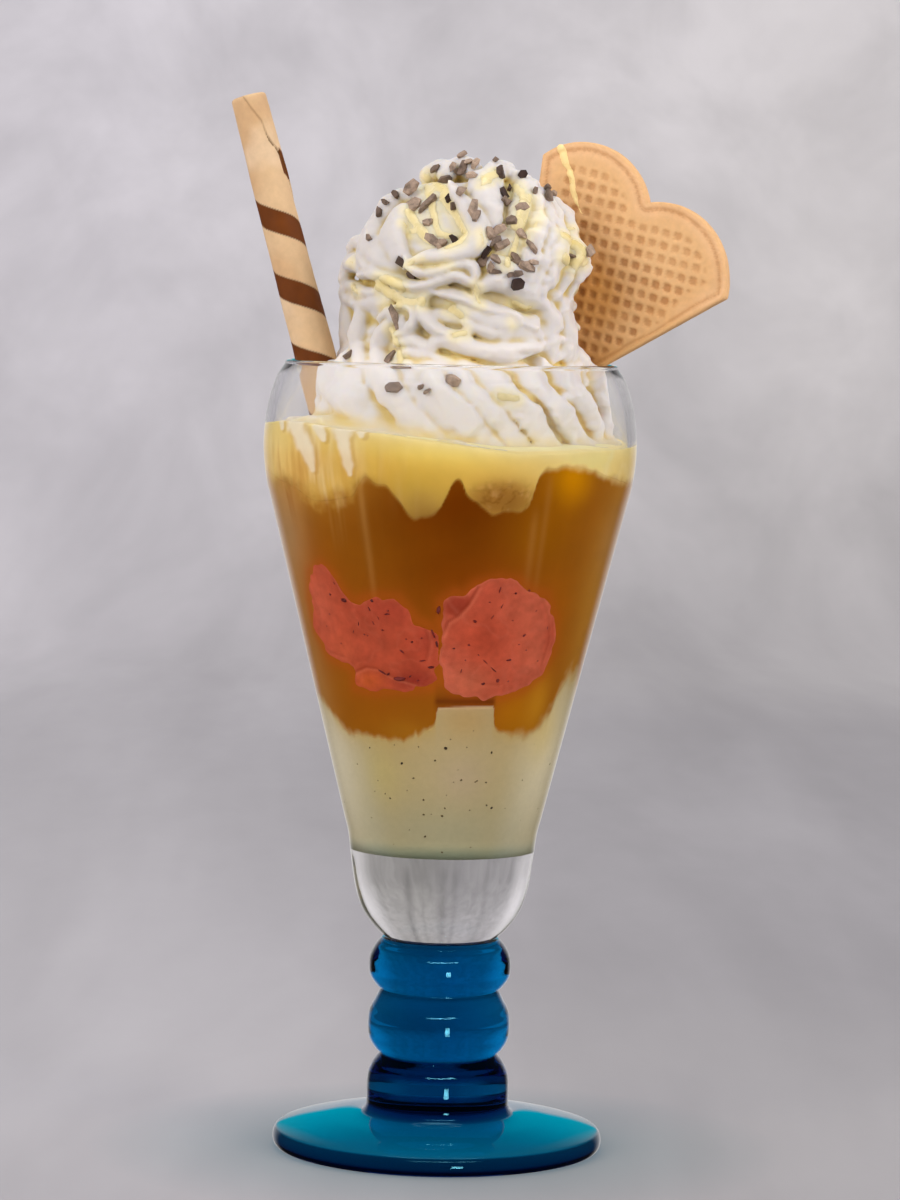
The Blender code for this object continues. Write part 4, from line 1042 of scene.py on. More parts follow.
def right_colour(az, z, p, t):
    out = paint(lin(174, 80, 56), [
        (32, 133, 12, 7, lin(184, 92, 66), 0.9), (14, 126, 12, 8, lin(168, 70, 46), 0.8), (0, 118, 10, 5, lin(186, 94, 70), 0.8),
        (10, 116, 10, 4, lin(180, 96, 68), 0.7), (40, 122, 9, 8, lin(180, 92, 66), 0.8),
        (46, 128, 3, 6, lin(168, 70, 46), 0.6), (12, 137, 8, 4, lin(172, 76, 54), 0.6)], az, z, p)
    out *= (1 + 0.22 * fbm(p, 3.4, 3, 131) + 0.10 * fbm(p, 1.0, 2, 137))[:, None]
    # a darker lump behind, between the two scoops
    lump = smooth(-near_line(az, z, [(-1.2, 131.6), (0.6, 134.0), (3.4, 135.6)]), -3.1, -2.1) * smooth(z + 0.35 * (az - 3.0) * 0.52, 131.6, 132.6)
    out += (lin(140, 54, 36) * (1 + 0.22 * fbm(p, 2.2, 3, 135))[:, None] - out) * (lump * 0.85)[:, None]
    vein = np.clip(1 - np.abs(fbm(p, 7.0, 3, 139)) * 9.0, 0, 1)
    out += (lin(198, 112, 88) - out) * (vein * 0.12)[:, None]
    # painted shade in the folds, painted highlight on their lips
    out = creases(out, az, z, [([(-1.6, 127.5), (0.4, 130.6), (4.6, 132.4), (8.2, 135.2), (11.2, 139.0)], 0.35, 0.6),
                               ([(36.5, 137.5), (42.5, 132), (45.5, 126), (44, 120)], 0.4, 0.25),
                               ([(2, 120.5), (8, 117.6), (16, 115.8), (24, 115.6)], 0.4, 0.3)])
    rim = smooth(t, 0.88, 0.99)
    return out + (lin(204, 116, 84) - out) * (rim * 0.3 * (1 + fbm(p, 3.0, 2, 147)))[:, None]


def blob(centre, axes, scale, rings=7, around=10, seed=0, rough=0.12):
    """A small lumpy ellipsoid: centre (3), axes (3, 3) unit rows, scale (3) half sizes."""
    th = np.linspace(0, math.pi, rings + 2)[1:-1]
    ph = np.arange(around) * 2 * math.pi / around
    d = np.concatenate([[(0, 0, 1)], *[np.stack([math.sin(t) * np.cos(ph), math.sin(t) * np.sin(ph), np.full(around, math.cos(t))], -1)
                                       for t in th], [(0, 0, -1)]])
    rad = 1 + rough * noise(d * 3.1 + seed * 7.7, 1.3, 200 + seed % 5)
    local = d * rad[:, None] * np.asarray(scale)
    verts = np.asarray(centre) + local @ np.asarray(axes)
    faces = []
    n = around
    i = np.arange(n)
    j = (i + 1) % n
    tri = [np.stack([np.zeros(n, int), 1 + i, 1 + j], -1)]
    for k in range(rings - 1):
        a, b = 1 + k * n + i, 1 + k * n + j
        c, e = 1 + (k + 1) * n + i, 1 + (k + 1) * n + j
        tri += [np.stack([a, c, e], -1), np.stack([a, e, b], -1)]
    last = 1 + rings * n
    base = 1 + (rings - 1) * n
    tri.append(np.stack([np.full(n, last), base + j, base + i], -1))
    return verts, np.concatenate(tri)


def join_blobs(name, items, colours=None):
    verts, faces, cols, offset = [], [], [], 0
    for k, (v, f) in enumerate(items):
        verts.append(v)
        faces.append(f + offset)
        offset += len(v)
        if colours is not None:
            cols.append(np.tile(colours[k], (len(v), 1)))
    return make_mesh(name, np.concatenate(verts), np.concatenate(faces), np.concatenate(cols) if colours is not None else None)


def wall_axes(az, tilt):
    """Rows: along the wall (turned by tilt degrees from the horizontal), across it, and out of it."""
    a = math.radians(az)
    side, up, out = np.array([math.cos(a), math.sin(a), 0]), np.array([0, 0, 1.0]), np.array([math.sin(a), -math.cos(a), 0])
    t = math.radians(tilt)
    return np.array([side * math.cos(t) + up * math.sin(t), -side * math.sin(t) + up * math.cos(t), out])


# azimuth, z, half length, half width, tilt
SEEDS = [(-42.1, 134.7, 1.0, .7, -10), (-49.0, 135.8, .4, .35, 0), (-45.8, 138.6, .5, .15, -50), (-29.1, 135.0, .5, .4, -30),
         (-30.8, 133.1, .8, .2, -65), (-23.2, 132.0, .8, .22, 5), (-22.8, 132.8, .3, .25, 0), (-25.8, 128.1, .4, .22, 0),
         (-29.7, 129.8, .8, .14, -60), (-34.4, 126.8, .3, .25, 0), (-32.9, 126.6, .2, .2, 0), (-47.6, 124.2, .25, .2, 0),
         (-13.7, 125.6, .4, .3, 30), (-18.3, 123.3, .9, .25, -40), (-9.6, 121.2, .9, .22, 12), (-6.1, 119.7, .8, .4, 10),
         (-28.1, 118.1, 1.5, .3, -28), (-19.9, 116.7, 1.7, .7, 0), (-25.0, 117.6, .6, .3, 40), (10.8, 130.9, .55, .4, -30),
         (32.3, 127.4, .6, .4, 35), (25.9, 137.5, .4, .32, 0), (16.1, 135.4, .3, .2, 0), (9.1, 125.2, .4, .3, -20),
         (3.1, 124.3, .4, .22, 0), (26.9, 121.5, .8, .32, 5), (23.0, 116.7, .55, .65, 0), (16.5, 115.9, .6, .4, 20),
         (13.3, 122.8, .4, .15, -40), (16.2, 121.3, 1.2, .13, -42), (20.1, 119.4, 1.4, .13, -40), (31.4, 138.1, .35, .3, 0),
         (19.6, 138.6, 1.3, .2, 78), (21.1, 134.6, .9, .14, 65), (17.8, 132.0, .8, .14, 55), (34.4, 123.8, .3, .2, 0),
         (30.5, 125.2, .3, .18, 0), (6.6, 119.0, .7, .14, 75), (-11.9, 116.4, .4, .25, 20), (-15.2, 117.3, .5, .22, 50),
         (-3.1, 133.5, 1.3, .5, 80), (-5.3, 127.9, 1.6, .28, -70), (-3.8, 125.5, 1.2, .3, -75), (43.2, 129.1, .7, .14, 85),
         (41.4, 121.1, .3, .2, 0), (-36.5, 129.3, .7, .12, 80), (-39.6, 127.3, .5, .12, 70), (-9.8, 126.6, .3, .22, 0),
         (-16.1, 126.2, .3, .2, 0), (-51.5, 131.0, .28, .2, 0), (-54.9, 128.0, .2, .2, 0), (36.0, 133.2, .35, .15, 50),
         (26.2, 131.0, .25, .2, 0), (8.1, 121.5, .25, .2, 0), (28.0, 116.4, .3, .2, 30), (-27.2, 131.0, .7, .12, -70)]
SPECKS = [(0.8, 100.3, .5), (-40.6, 99.4, .3), (-22.3, 96.2, .42), (-4.5, 97.2, .33), (-16.4, 92.7, .36), (24.7, 99.2, .42),
          (18.5, 92.3, .28), (-34.8, 88.4, .28), (-31.9, 87.4, .34), (-11.3, 87.5, .32), (1.1, 85.6, .3), (-11.5, 83.9, .35),
          (-0.4, 83.7, .38), (29.7, 85.6, .42), (39.3, 85.3, .2), (-11.1, 78.5, .4), (0.0, 74.7, .33), (-12.9, 100.4, .22),
          (-38.5, 91.5, .2), (-25.6, 100.5, .22), (1.8, 88.8, .2), (19.0, 75.9, .25), (11.3, 100.5, .22), (3.1, 102.4, .25),
          (-6.9, 84.0, .2), (-20.6, 89.6, .2), (14.0, 104.5, .2), (7.5, 95.0, .2), (48.0, 92.0, .25), (-52.0, 95.0, .25)]


def small_things():
    rng = np.random.RandomState(5)
    items, cols = [], []
    for k, (az, z, length, width, tilt) in enumerate(SEEDS):
        r = float(inner_radius(z)) + 0.2
        items.append(blob(at(np.array([az]), np.array([r]), np.array([z]))[0], wall_axes(az, tilt),
                          (length * 0.86, width * 0.86, 0.16), 5, 9, seed=k, rough=0.3))
        cols.append(lin(*((88, 16, 12), (104, 24, 18), (118, 32, 24))[k % 3]) if length > 0.35 else lin(126, 40, 28))
    seeds = join_blobs("strawberry_seeds", items, cols)
    m = Mat("seed_red", rough=0.4)
    m.colour(m.vary(m.attr("Paint"), m.noise(900.0), 0.9, 1.1))
    m.rough(m.noise(500.0), 0.3, 0.5)
    m.bump((m.noise(1500.0), 0.00005, 0.4))
    finish_piece(seeds, m)
    items, cols = [], []
    specks = list(SPECKS)
    for _ in range(75):
        az = rng.uniform(-180, 180)
        z = rng.uniform(76, 101)
        if abs(az) < 52 and rng.rand() < 0.72:
            continue
        specks.append((az, z, rng.uniform(0.12, 0.36)))
    for k, (az, z, size) in enumerate(specks):
        r = float(inner_radius(max(z, FLOOR_Z + 4))) + 0.2
        if z < FLOOR_Z + 4:
            r -= 4.2 * (1 - math.sqrt(max(0.0, 1 - ((FLOOR_Z + 4 - z) / 4.0) ** 2)))
        items.append(blob(at(np.array([az]), np.array([r]), np.array([z]))[0], wall_axes(az, rng.uniform(0, 180)),
                          (size * 0.85, size * rng.uniform(0.45, 0.8), 0.12), 5, 8, seed=k, rough=0.3))
        cols.append(lin(*((58, 46, 22), (92, 76, 40), (118, 102, 62))[0 if size > 0.4 else 1 if size > 0.27 else 2]))
    dots = join_blobs("vanilla_specks", items, cols)
    m = Mat("vanilla_speck", rough=0.5)
    m.colour(m.vary(m.attr("Paint"), m.noise(900.0), 0.85, 1.15))
    m.rough(m.noise(500.0), 0.4, 0.6)
    m.bump((m.noise(1500.0), 0.00005, 0.4))
    finish_piece(dots, m)


vanilla()
amber()
custard()
scoop("strawberry_left", LEFT_OUTLINE, (-32, 125.5), 0.2, 22.0, 140, left_colour, "strawberry_scoop_left", 1.0)
scoop("strawberry_right", RIGHT_OUTLINE, (22, 126), 0.23, 23.0, 150, right_colour, "strawberry_scoop_right", 0.7)
small_things()

# ================================================================= whipped cream
VOX = 0.56
LOW = np.array([-47.0, -43.0, 169.0])
HIGH = np.array([47.0, 43.0, 243.0])
SHAPE = tuple(int(math.ceil((b - a) / VOX)) + 1 for a, b in zip(LOW, HIGH))
GX, GY, GZ = (LOW[i] + VOX * np.arange(SHAPE[i]) for i in range(3))


def grid_noise(cell, octaves, seed, stretch=(1, 1, 1)):
    """Smooth noise on the whole grid, in about -1..1, from small random lattices."""
    rng = np.random.RandomState(seed)
    out, total, amp = 0.0, 0.0, 1.0
    for k in range(octaves):
        weights, sizes = [], []
        for g, s in zip((GX, GY, GZ), stretch):
            q = (g - g[0]) / (cell * s / 2 ** k)
            n = int(q[-1]) + 3
            i = np.floor(q).astype(int)
            f = q - i
            f = f * f * (3 - 2 * f)
            m = np.zeros((len(g), n), np.float32)
            m[np.arange(len(g)), i] = 1 - f
            m[np.arange(len(g)), i + 1] += f
            weights.append(m)
            sizes.append(n)
        lattice = (rng.rand(*sizes) * 2 - 1).astype(np.float32)
        a = np.tensordot(weights[0], lattice, (1, 0))
        a = np.tensordot(a, weights[1], (1, 1)).transpose(0, 2, 1)
        a = np.tensordot(a, weights[2], (2, 1))
        out = out + a * amp
        total += amp
        amp *= 0.5
    return (out / total).astype(np.float32)


class Field:
    """A solid given by a field that is negative inside, built up from swept ropes of cream."""

    def __init__(self):
        self.f = np.full(SHAPE, 30.0, np.float32)

    def box(self, low, high):
        i0 = np.maximum(np.floor((low - LOW) / VOX).astype(int), 0)
        i1 = np.minimum(np.ceil((high - LOW) / VOX).astype(int) + 1, SHAPE)
        if np.any(i1 <= i0):
            return None
        return tuple(slice(a, b) for a, b in zip(i0, i1))

    def join(self, box, d, k):
        f = self.f[box]
        if k <= 0:
            np.minimum(f, d, out=f)
            return
        h = np.clip(0.5 + 0.5 * (f - d) / k, 0, 1)
        self.f[box] = f + (d - f) * h - k * h * (1 - h)

    def sweep(self, points, wide, thick, out=None, flutes=0, depth=0.15, twist=0.0, phase=0.0, k=0.6, power=1.0, lean=0.0, sharp=2.0):
        """A rope through points (n, 3). wide and thick: half sizes across and along out; lean turns the section;
        sharp below 2 gives it a crest."""
        p = np.asarray(points, float)
        n = len(p)
        wide, thick = np.broadcast_to(wide, n).astype(float), np.broadcast_to(thick, n).astype(float)
        tang = np.gradient(p, axis=0)
        tang /= np.linalg.norm(tang, axis=1)[:, None] + 1e-9
        if out is None:
            o = np.zeros((n, 3))
            ref = np.array([0.0, 0.0, 1.0])
            for i in range(n):
                ref = ref - tang[i] * (ref @ tang[i])
                ref /= np.linalg.norm(ref) + 1e-9
                o[i] = ref
        else:
            o = np.asarray(out, float)
            o = o - tang * np.sum(o * tang, 1)[:, None]
            o /= np.linalg.norm(o, axis=1)[:, None] + 1e-9
        side = np.cross(tang, o)
        if lean:
            c, q = math.cos(math.radians(lean)), math.sin(math.radians(lean))
            side, o = side * c + o * q, o * c - side * q
        length = np.concatenate([[0], np.cumsum(np.linalg.norm(np.diff(p, axis=0), axis=1))])
        local = np.full(SHAPE, 30.0, np.float32) if k > 0 else self.f
        touched = []
        for i in range(n - 1):
            a, b = p[i], p[i + 1]
            ab = b - a
            reach = max(wide[i], wide[i + 1], thick[i], thick[i + 1]) + 2.5
            box = self.box(np.minimum(a, b) - reach, np.maximum(a, b) + reach)
            if box is None:
                continue
            x = GX[box[0]][:, None, None] - a[0]
            y = GY[box[1]][None, :, None] - a[1]
            z = GZ[box[2]][None, None, :] - a[2]
            t = np.clip((x * ab[0] + y * ab[1] + z * ab[2]) / (ab @ ab + 1e-9), 0, 1)
            dx, dy, dz = x - t * ab[0], y - t * ab[1], z - t * ab[2]
            s, q = (side[i] + side[i + 1]) / 2, (o[i] + o[i + 1]) / 2
            s, q = s / np.linalg.norm(s), q / np.linalg.norm(q)
            w = wide[i] + (wide[i + 1] - wide[i]) * t
            h = thick[i] + (thick[i + 1] - thick[i]) * t
            u = (dx * s[0] + dy * s[1] + dz * s[2]) / w
            v = (dx * q[0] + dy * q[1] + dz * q[2]) / h
            tt = tang[i]
            along = dx * tt[0] + dy * tt[1] + dz * tt[2]
            e = along / h
            if sharp < 2:
                r = (np.abs(u) ** sharp + np.abs(v) ** sharp + np.abs(e) ** sharp + 1e-6) ** (1 / sharp)
            else:
                r = np.sqrt(u * u + v * v + e * e)
            if flutes:
                ang = np.arctan2(v, u) * flutes / 2 + phase + twist * (length[i] + t * (length[i + 1] - length[i]))
                r = r / (1 - depth * (1 - np.abs(np.sin(ang)) ** power))
            d = ((r - 1) * np.minimum(w, h)).astype(np.float32)
            f = local[box]
            np.minimum(f, d, out=f)
            touched.append(box)
        if k > 0 and touched:
            low = [min(b[i].start for b in touched) for i in range(3)]
            high = [max(b[i].stop for b in touched) for i in range(3)]
            box = tuple(slice(a, b) for a, b in zip(low, high))
            self.join(box, local[box], k)


def from_field(name, f, colours=None, iso=0.0):
    """The surface of a field as points and quads in mm."""
    grid = openvdb.FloatGrid(background=30.0)
    grid.copyFromArray(np.ascontiguousarray(f, np.float32))
    points, quads = grid.convertToQuads(isovalue=iso)
    return points * VOX + LOW, quads


CREAM_SHAPE = [(168, 34.5, 0.5), (175, 35.8, 0.6), (180, 36.4, 0.3), (185, 35.0, -0.3), (188.5, 31.0, 0.8), (191, 28.0, 2.2), (194, 28.0, 2.3),
               (199, 28.6, 2.6), (204, 27.6, 2.5), (208, 28.4, 3.4), (212, 29.2, 3.9), (216, 29.0, 4.6), (220, 27.0, 4.8), (225, 23.6, 4.8),
               (229, 20.0, 4.6), (232, 16.6, 4.2), (235, 12.0, 5.4), (237.5, 7.0, 6.0), (239.5, 0.5, 6.5)]


def cream_radius(z):
    t = np.array(CREAM_SHAPE)
    return np.interp(z, t[:, 0], t[:, 1]), np.interp(z, t[:, 0], t[:, 2])


def seen(px, py, proud=0.0):
    """The point of the cream's outline surface behind image point (px, py) of the 900 x 1200 frame, moved out by proud."""
    focal, dist, high, pitch, roll = 4300.0, 1034.0, 206.5, math.radians(4.06), math.radians(1.14)
    dx, dy = px - 447.0, py - 600.0
    u, w = dx * math.cos(roll) + dy * math.sin(roll), -dx * math.sin(roll) + dy * math.cos(roll)
    d = np.array([u, focal * math.cos(pitch) - w * math.sin(pitch), -focal * math.sin(pitch) - w * math.cos(pitch)])
    d /= np.linalg.norm(d)
    t = np.linspace(960, 1080, 481)
    p = np.array([0, -dist, high]) + t[:, None] * d
    r, cx = cream_radius(p[:, 2])
    flat = np.interp(p[:, 2], [186, 197], [0.92, 1.0])
    g = np.hypot(p[:, 0] - cx, p[:, 1] / flat) - r - proud
    i = int(np.argmax(g < 0)) if (g < 0).any() else int(np.argmin(g))
    q = p[i]
    c = np.interp(q[2], [t0[0] for t0 in CREAM_SHAPE], [t0[2] for t0 in CREAM_SHAPE])
    out = np.array([q[0] - c, q[1], 0.35 * r[i] * 0.4 if q[2] > 222 else 2.0])
    return q, out / np.linalg.norm(out)


# Outline of the cream from the front: (x, z) down its left and right sides.
LEFT_SIDE = [(-26.2, 192.8), (-26.6, 200), (-26.4, 204.7), (-26.0, 211.9), (-24.5, 217.9), (-19.8, 223.5), (-14.4, 230.0), (-8.5, 233.8), (-4.0, 236.6)]
RIGHT_SIDE = [(30.7, 193.9), (31.8, 198.7), (29.3, 203.5), (32.8, 208.3), (34.6, 215.0), (32.5, 220.3), (28.8, 226.2), (21.5, 232.0), (15.4, 236.2)]


def kept_inside(px, py, half):
    """px moved inward as far as a ribbon of this half size needs to stay within the outline."""
    z = 133.1 + (600.0 - py) / 4.17
    if z < 192:
        return px
    left = float(np.interp(z, [q[1] for q in LEFT_SIDE], [q[0] for q in LEFT_SIDE]))
    right = float(np.interp(z, [q[1] for q in RIGHT_SIDE], [q[0] for q in RIGHT_SIDE]))
    return float(np.clip(px, 447 + 4.16 * (left + half), 447 + 4.16 * (right - half)))


def ribbon(field, track, wide, thick, proud=0.0, steps=7, comb=0.0, **extra):
    """A ribbon of cream over the seen side: track of frame points (px, py[, proud]). comb: depth of the torn edge."""
    pts, outs = [], []
    sunk = 0.45 * proud - float(np.mean(thick)) - 0.4
    sizes = np.interp(np.linspace(0, 1, len(track)), np.linspace(0, 1, len(np.atleast_1d(wide))), np.atleast_1d(wide))
    for item, size in zip(track, sizes):
        q, o = seen(kept_inside(item[0], item[1], size + 0.3), item[1], sunk + (item[2] if len(item) > 2 else 0.0))
        pts.append(q)
        outs.append(o)
    line = catmull(pts, steps)
    aim = catmull(outs, steps)
    n = len(line)
    s = np.linspace(0, 1, n)
    w = np.interp(s, np.linspace(0, 1, len(np.atleast_1d(wide))), np.atleast_1d(wide)) if np.ndim(wide) else np.full(n, float(wide))
    h = np.interp(s, np.linspace(0, 1, len(np.atleast_1d(thick))), np.atleast_1d(thick)) if np.ndim(thick) else np.full(n, float(thick))
    if comb:
        far = np.concatenate([[0], np.cumsum(np.linalg.norm(np.diff(line, axis=0), axis=1))])
        fine = np.linspace(0, far[-1], max(int(far[-1] / 0.55), n))
        line = np.stack([np.interp(fine, far, line[:, i]) for i in range(3)], -1)
        aim = np.stack([np.interp(fine, far, aim[:, i]) for i in range(3)], -1)
        w, h = np.interp(fine, far, w), np.interp(fine, far, h)
        seed = int(track[0][0])
        key = np.stack([fine, fine * 0 + seed, fine * 0], -1)
        torn = np.abs(noise(key, 1.9, seed)) * 2.2 + noise(key, 0.8, seed + 1) * 0.5
        w = w + comb * (torn - 0.6)
        h = h + comb * 0.7 * (torn - 0.6)
    field.sweep(line, w, h, out=aim, **extra)


def coil(field, turns, flutes=9, depth=0.2, twist=0.16, k=0.5, power=0.9, seed=1):
    """A fluted rope laid in rising loops. turns: (turn, path radius, z, rope radius, centre x)."""
    tab = np.array(turns, float)
    t = np.linspace(tab[0, 0], tab[-1, 0], int((tab[-1, 0] - tab[0, 0]) * 44))
    r, z, rope, cx = (np.interp(t, tab[:, 0], tab[:, i]) for i in (1, 2, 3, 4))
    wob = fbm(np.stack([t * 9, t * 0, t * 0], -1), 3.0, 2, seed)
    r = r * (1 + 0.09 * wob)
    z = z + 1.3 * fbm(np.stack([t * 9, t * 0 + 9, t * 0], -1), 3.0, 2, seed + 3)
    a = 2 * math.pi * t
    flat = np.interp(z, [186, 197], [0.9, 1.0])
    p = np.stack([cx + r * np.cos(a), r * flat * np.sin(a), z], -1)
    field.sweep(p, rope, rope * 0.94, flutes=flutes, depth=depth, twist=twist, k=k, power=power)


def front(field):
    """The ribbons and lobes of the seen side, each along a track over the outline of the swirl."""
    rb = lambda track, wide, thick, proud, **extra: ribbon(field, track, wide, thick, proud, **extra)
    # inside the glass: broad ridges running down to the right, each overlapping the next
    rb([(322, 372), (345, 392), (370, 415), (392, 436), (405, 452)], [4.2, 4.8, 4.6, 3.6], [2.6, 2.8, 2.6, 2.0], 0.6, k=0.9, lean=18)
    rb([(352, 364), (385, 385), (412, 410), (438, 436), (455, 456)], [3.2, 3.8, 3.8, 3.0], [2.4, 2.8, 2.6, 2.2], 0.7, k=0.5, lean=22, comb=0.15)
    rb([(375, 360), (404, 377), (430, 400), (456, 425), (480, 448)], [2.4, 3.2, 3.4, 2.6], [2.2, 2.6, 2.6, 2.0], 0.9, k=0.3, lean=26, comb=0.3, sharp=1.6)
    rb([(402, 366), (430, 385), (452, 405), (472, 425), (494, 447)], [2.8, 3.8, 4.2, 2.8], [2.6, 3.2, 3.2, 2.4], 1.7, k=0.3, comb=0.4, lean=28, sharp=1.6)
    rb([(432, 364), (458, 384), (486, 408), (512, 436), (526, 456)], [2.4, 3.2, 3.2, 2.4], [2.4, 2.8, 2.8, 2.0], 0.9, k=0.35, comb=0.3, lean=26, sharp=1.7)
    rb([(462, 366), (492, 386), (520, 412), (543, 442), (553, 460)], [2.6, 3.6, 3.6, 2.6], [2.4, 3.0, 3.0, 2.2], 1.3, k=0.3, comb=0.35, lean=28, sharp=1.6)
    rb([(500, 364), (530, 384), (553, 408), (570, 432), (582, 454)], [2.6, 3.6, 3.4, 2.6], [2.4, 3.0, 2.8, 2.2], 1.0, k=0.3, comb=0.35, lean=26, sharp=1.7)
    rb([(535, 366), (562, 384), (582, 406), (590, 430), (592, 450)], [2.4, 3.2, 3.2, 2.4], [2.2, 2.8, 2.6, 2.0], 1.0, k=0.3, comb=0.5, lean=20, sharp=1.7)
    rb([(565, 368), (588, 384), (602, 400), (606, 420), (602, 440)], [2.0, 2.8, 2.8, 2.0], [2.2, 2.6, 2.6, 2.0], 0.8, k=0.3, comb=0.6, sharp=1.7)
    rb([(590, 372), (602, 384), (609, 398), (608, 412)], [1.6, 2.2, 2.2, 1.6], [2.0, 2.4, 2.4, 1.8], 1.0, k=0.3, comb=0.7, sharp=1.7)
    # left side, above the rim: soft upright folds
    rb([(344, 372), (344, 350), (345, 330), (347, 312), (352, 300)], [3.0, 3.3, 3.0, 2.2], [2.4, 2.6, 2.4, 2.0], 0.9, k=0.7)
    rb([(361, 366), (362, 345), (361, 326), (364, 309), (371, 301)], [2.8, 3.2, 3.0, 2.2], [2.2, 2.6, 2.4, 1.8], 1.3, k=0.5, lean=14)
    rb([(379, 372), (380, 352), (383, 336), (390, 325)], [2.4, 2.8, 2.6, 1.8], [2.2, 2.4, 2.2, 1.8], 1.1, k=0.4, sharp=1.7)
    rb([(345, 292), (351, 298), (362, 304), (376, 305), (390, 300)], [1.5, 2.1, 2.3, 1.7], [2.2, 2.7, 2.7, 2.0], 1.7, k=0.35, sharp=1.7)
    rb([(345, 281), (352, 286), (364, 292), (377, 293)], [1.3, 1.9, 1.9, 1.3], [2.0, 2.4, 2.4, 1.8], 1.4, k=0.3, sharp=1.7)
    rb([(345, 270), (352, 263), (361, 264), (369, 272)], [1.6, 2.5, 2.5, 1.6], [2.2, 2.7, 2.7, 2.0], 1.5, k=0.4)
    rb([(350, 248), (357, 244), (366, 246)], [1.6, 2.2, 1.6], [1.8, 2.2, 1.8], 1.4, k=0.4)
    # big smooth lobe, upper left
    rb([(413, 196), (400, 203), (388, 214), (379, 229), (376, 245), (382, 259), (395, 268)],
       [2.0, 3.4, 4.4, 4.8, 4.8, 4.2, 2.4], [2.4, 3.2, 3.8, 4.0, 3.8, 3.4, 2.4], 2.1, k=0.45)
    rb([(402, 214), (395, 228), (394, 243), (400, 256)], [2.6, 3.8, 3.8, 2.6], [2.2, 2.8, 2.8, 2.2], 2.0, k=0.8)
    rb([(366, 250), (368, 262), (377, 271), (390, 275)], [1.5, 2.2, 2.2, 1.5], [2.0, 2.6, 2.6, 2.0], 1.6, k=0.35, sharp=1.8)
    # lumps round the top
    rb([(424, 176), (436, 170), (448, 174)], [2.4, 3.0, 2.6], [2.6, 3.0, 2.6], 1.2, k=0.6)
    rb([(452, 171), (462, 167), (474, 170)], [2.2, 2.8, 2.4], [2.4, 2.8, 2.4], 1.0, k=0.6)
    rb([(503, 168), (494, 173), (488, 184), (486, 198), (488, 212), (491, 224)], [1.6, 2.8, 3.6, 3.8, 3.4, 2.2], [2.0, 3.0, 3.4, 3.4, 3.2, 2.4], 2.0, k=0.4)
    rb([(478, 178), (476, 190), (478, 204), (482, 218)], [1.6, 2.2, 2.2, 1.6], [2.2, 2.6, 2.6, 2.0], 1.2, k=0.35, sharp=1.8)
    rb([(514, 170), (518, 176), (522, 190), (519, 206), (513, 222)], [1.8, 2.4, 2.6, 2.4, 1.8], [2.4, 2.8, 2.8, 2.6, 2.2], 1.3, k=0.3, comb=0.3, sharp=1.7)
    # the peak that curls over
    rb([(456, 192), (461, 201), (470, 213), (478, 227), (478, 241), (466, 252), (446, 258), (426, 259), (411, 265)],
       [0.5, 1.6, 2.3, 2.8, 2.9, 2.6, 2.0, 1.5, 0.9], [2.0, 3.4, 3.8, 3.8, 4.0, 4.0, 3.6, 3.0, 2.2], 4.0, k=0.25, sharp=1.8)
    rb([(410, 261), (415, 269), (426, 274), (442, 272), (456, 266), (467, 265), (474, 271), (474, 283)],
       [0.9, 1.3, 1.4, 1.4, 1.3, 1.5, 1.7, 1.1], [2.2, 2.8, 3.0, 3.0, 2.8, 2.8, 2.8, 2.0], 3.0, k=0.2, sharp=1.7)
    rb([(366, 275), (384, 276), (402, 284), (422, 287), (441, 281), (456, 277), (470, 283), (480, 290)],
       [0.9, 1.5, 1.7, 1.7, 1.5, 1.4, 1.5, 1.0], [2.2, 3.0, 3.4, 3.4, 3.2, 3.0, 2.8, 2.0], 3.6, k=0.25, sharp=1.7, comb=0.08)
    rb([(384, 290), (402, 296), (420, 296), (430, 291)], [1.2, 1.8, 1.6, 1.0], [2.0, 2.4, 2.4, 1.8], 1.0, k=0.4)
    # leaf-shaped lobe with a pocket, and the long ridge that leaves it
    rb([(434, 290), (426, 297), (423, 309), (430, 323), (443, 333), (458, 335), (470, 330)],
       [1.1, 1.5, 1.7, 1.8, 1.8, 1.5, 0.9], [2.4, 3.0, 3.2, 3.2, 3.0, 2.6, 1.9], 2.8, k=0.25, sharp=1.7)
    rb([(431, 290), (452, 294), (475, 304), (500, 312), (525, 324), (550, 340)],
       [1.0, 1.6, 2.0, 2.2, 2.1, 1.2], [2.6, 3.2, 3.4, 3.4, 3.2, 2.2], 3.2, k=0.25, comb=0.18, sharp=1.6, lean=-12)
    rb([(462, 309), (482, 318), (506, 326), (532, 336)], [1.4, 2.2, 2.4, 1.6], [1.8, 2.2, 2.2, 1.6], 1.6, k=0.35, lean=-15)
    rb([(468, 324), (490, 333), (516, 339), (545, 344)], [1.3, 1.9, 2.1, 1.3], [2.0, 2.4, 2.4, 1.7], 1.4, k=0.3, sharp=1.7)
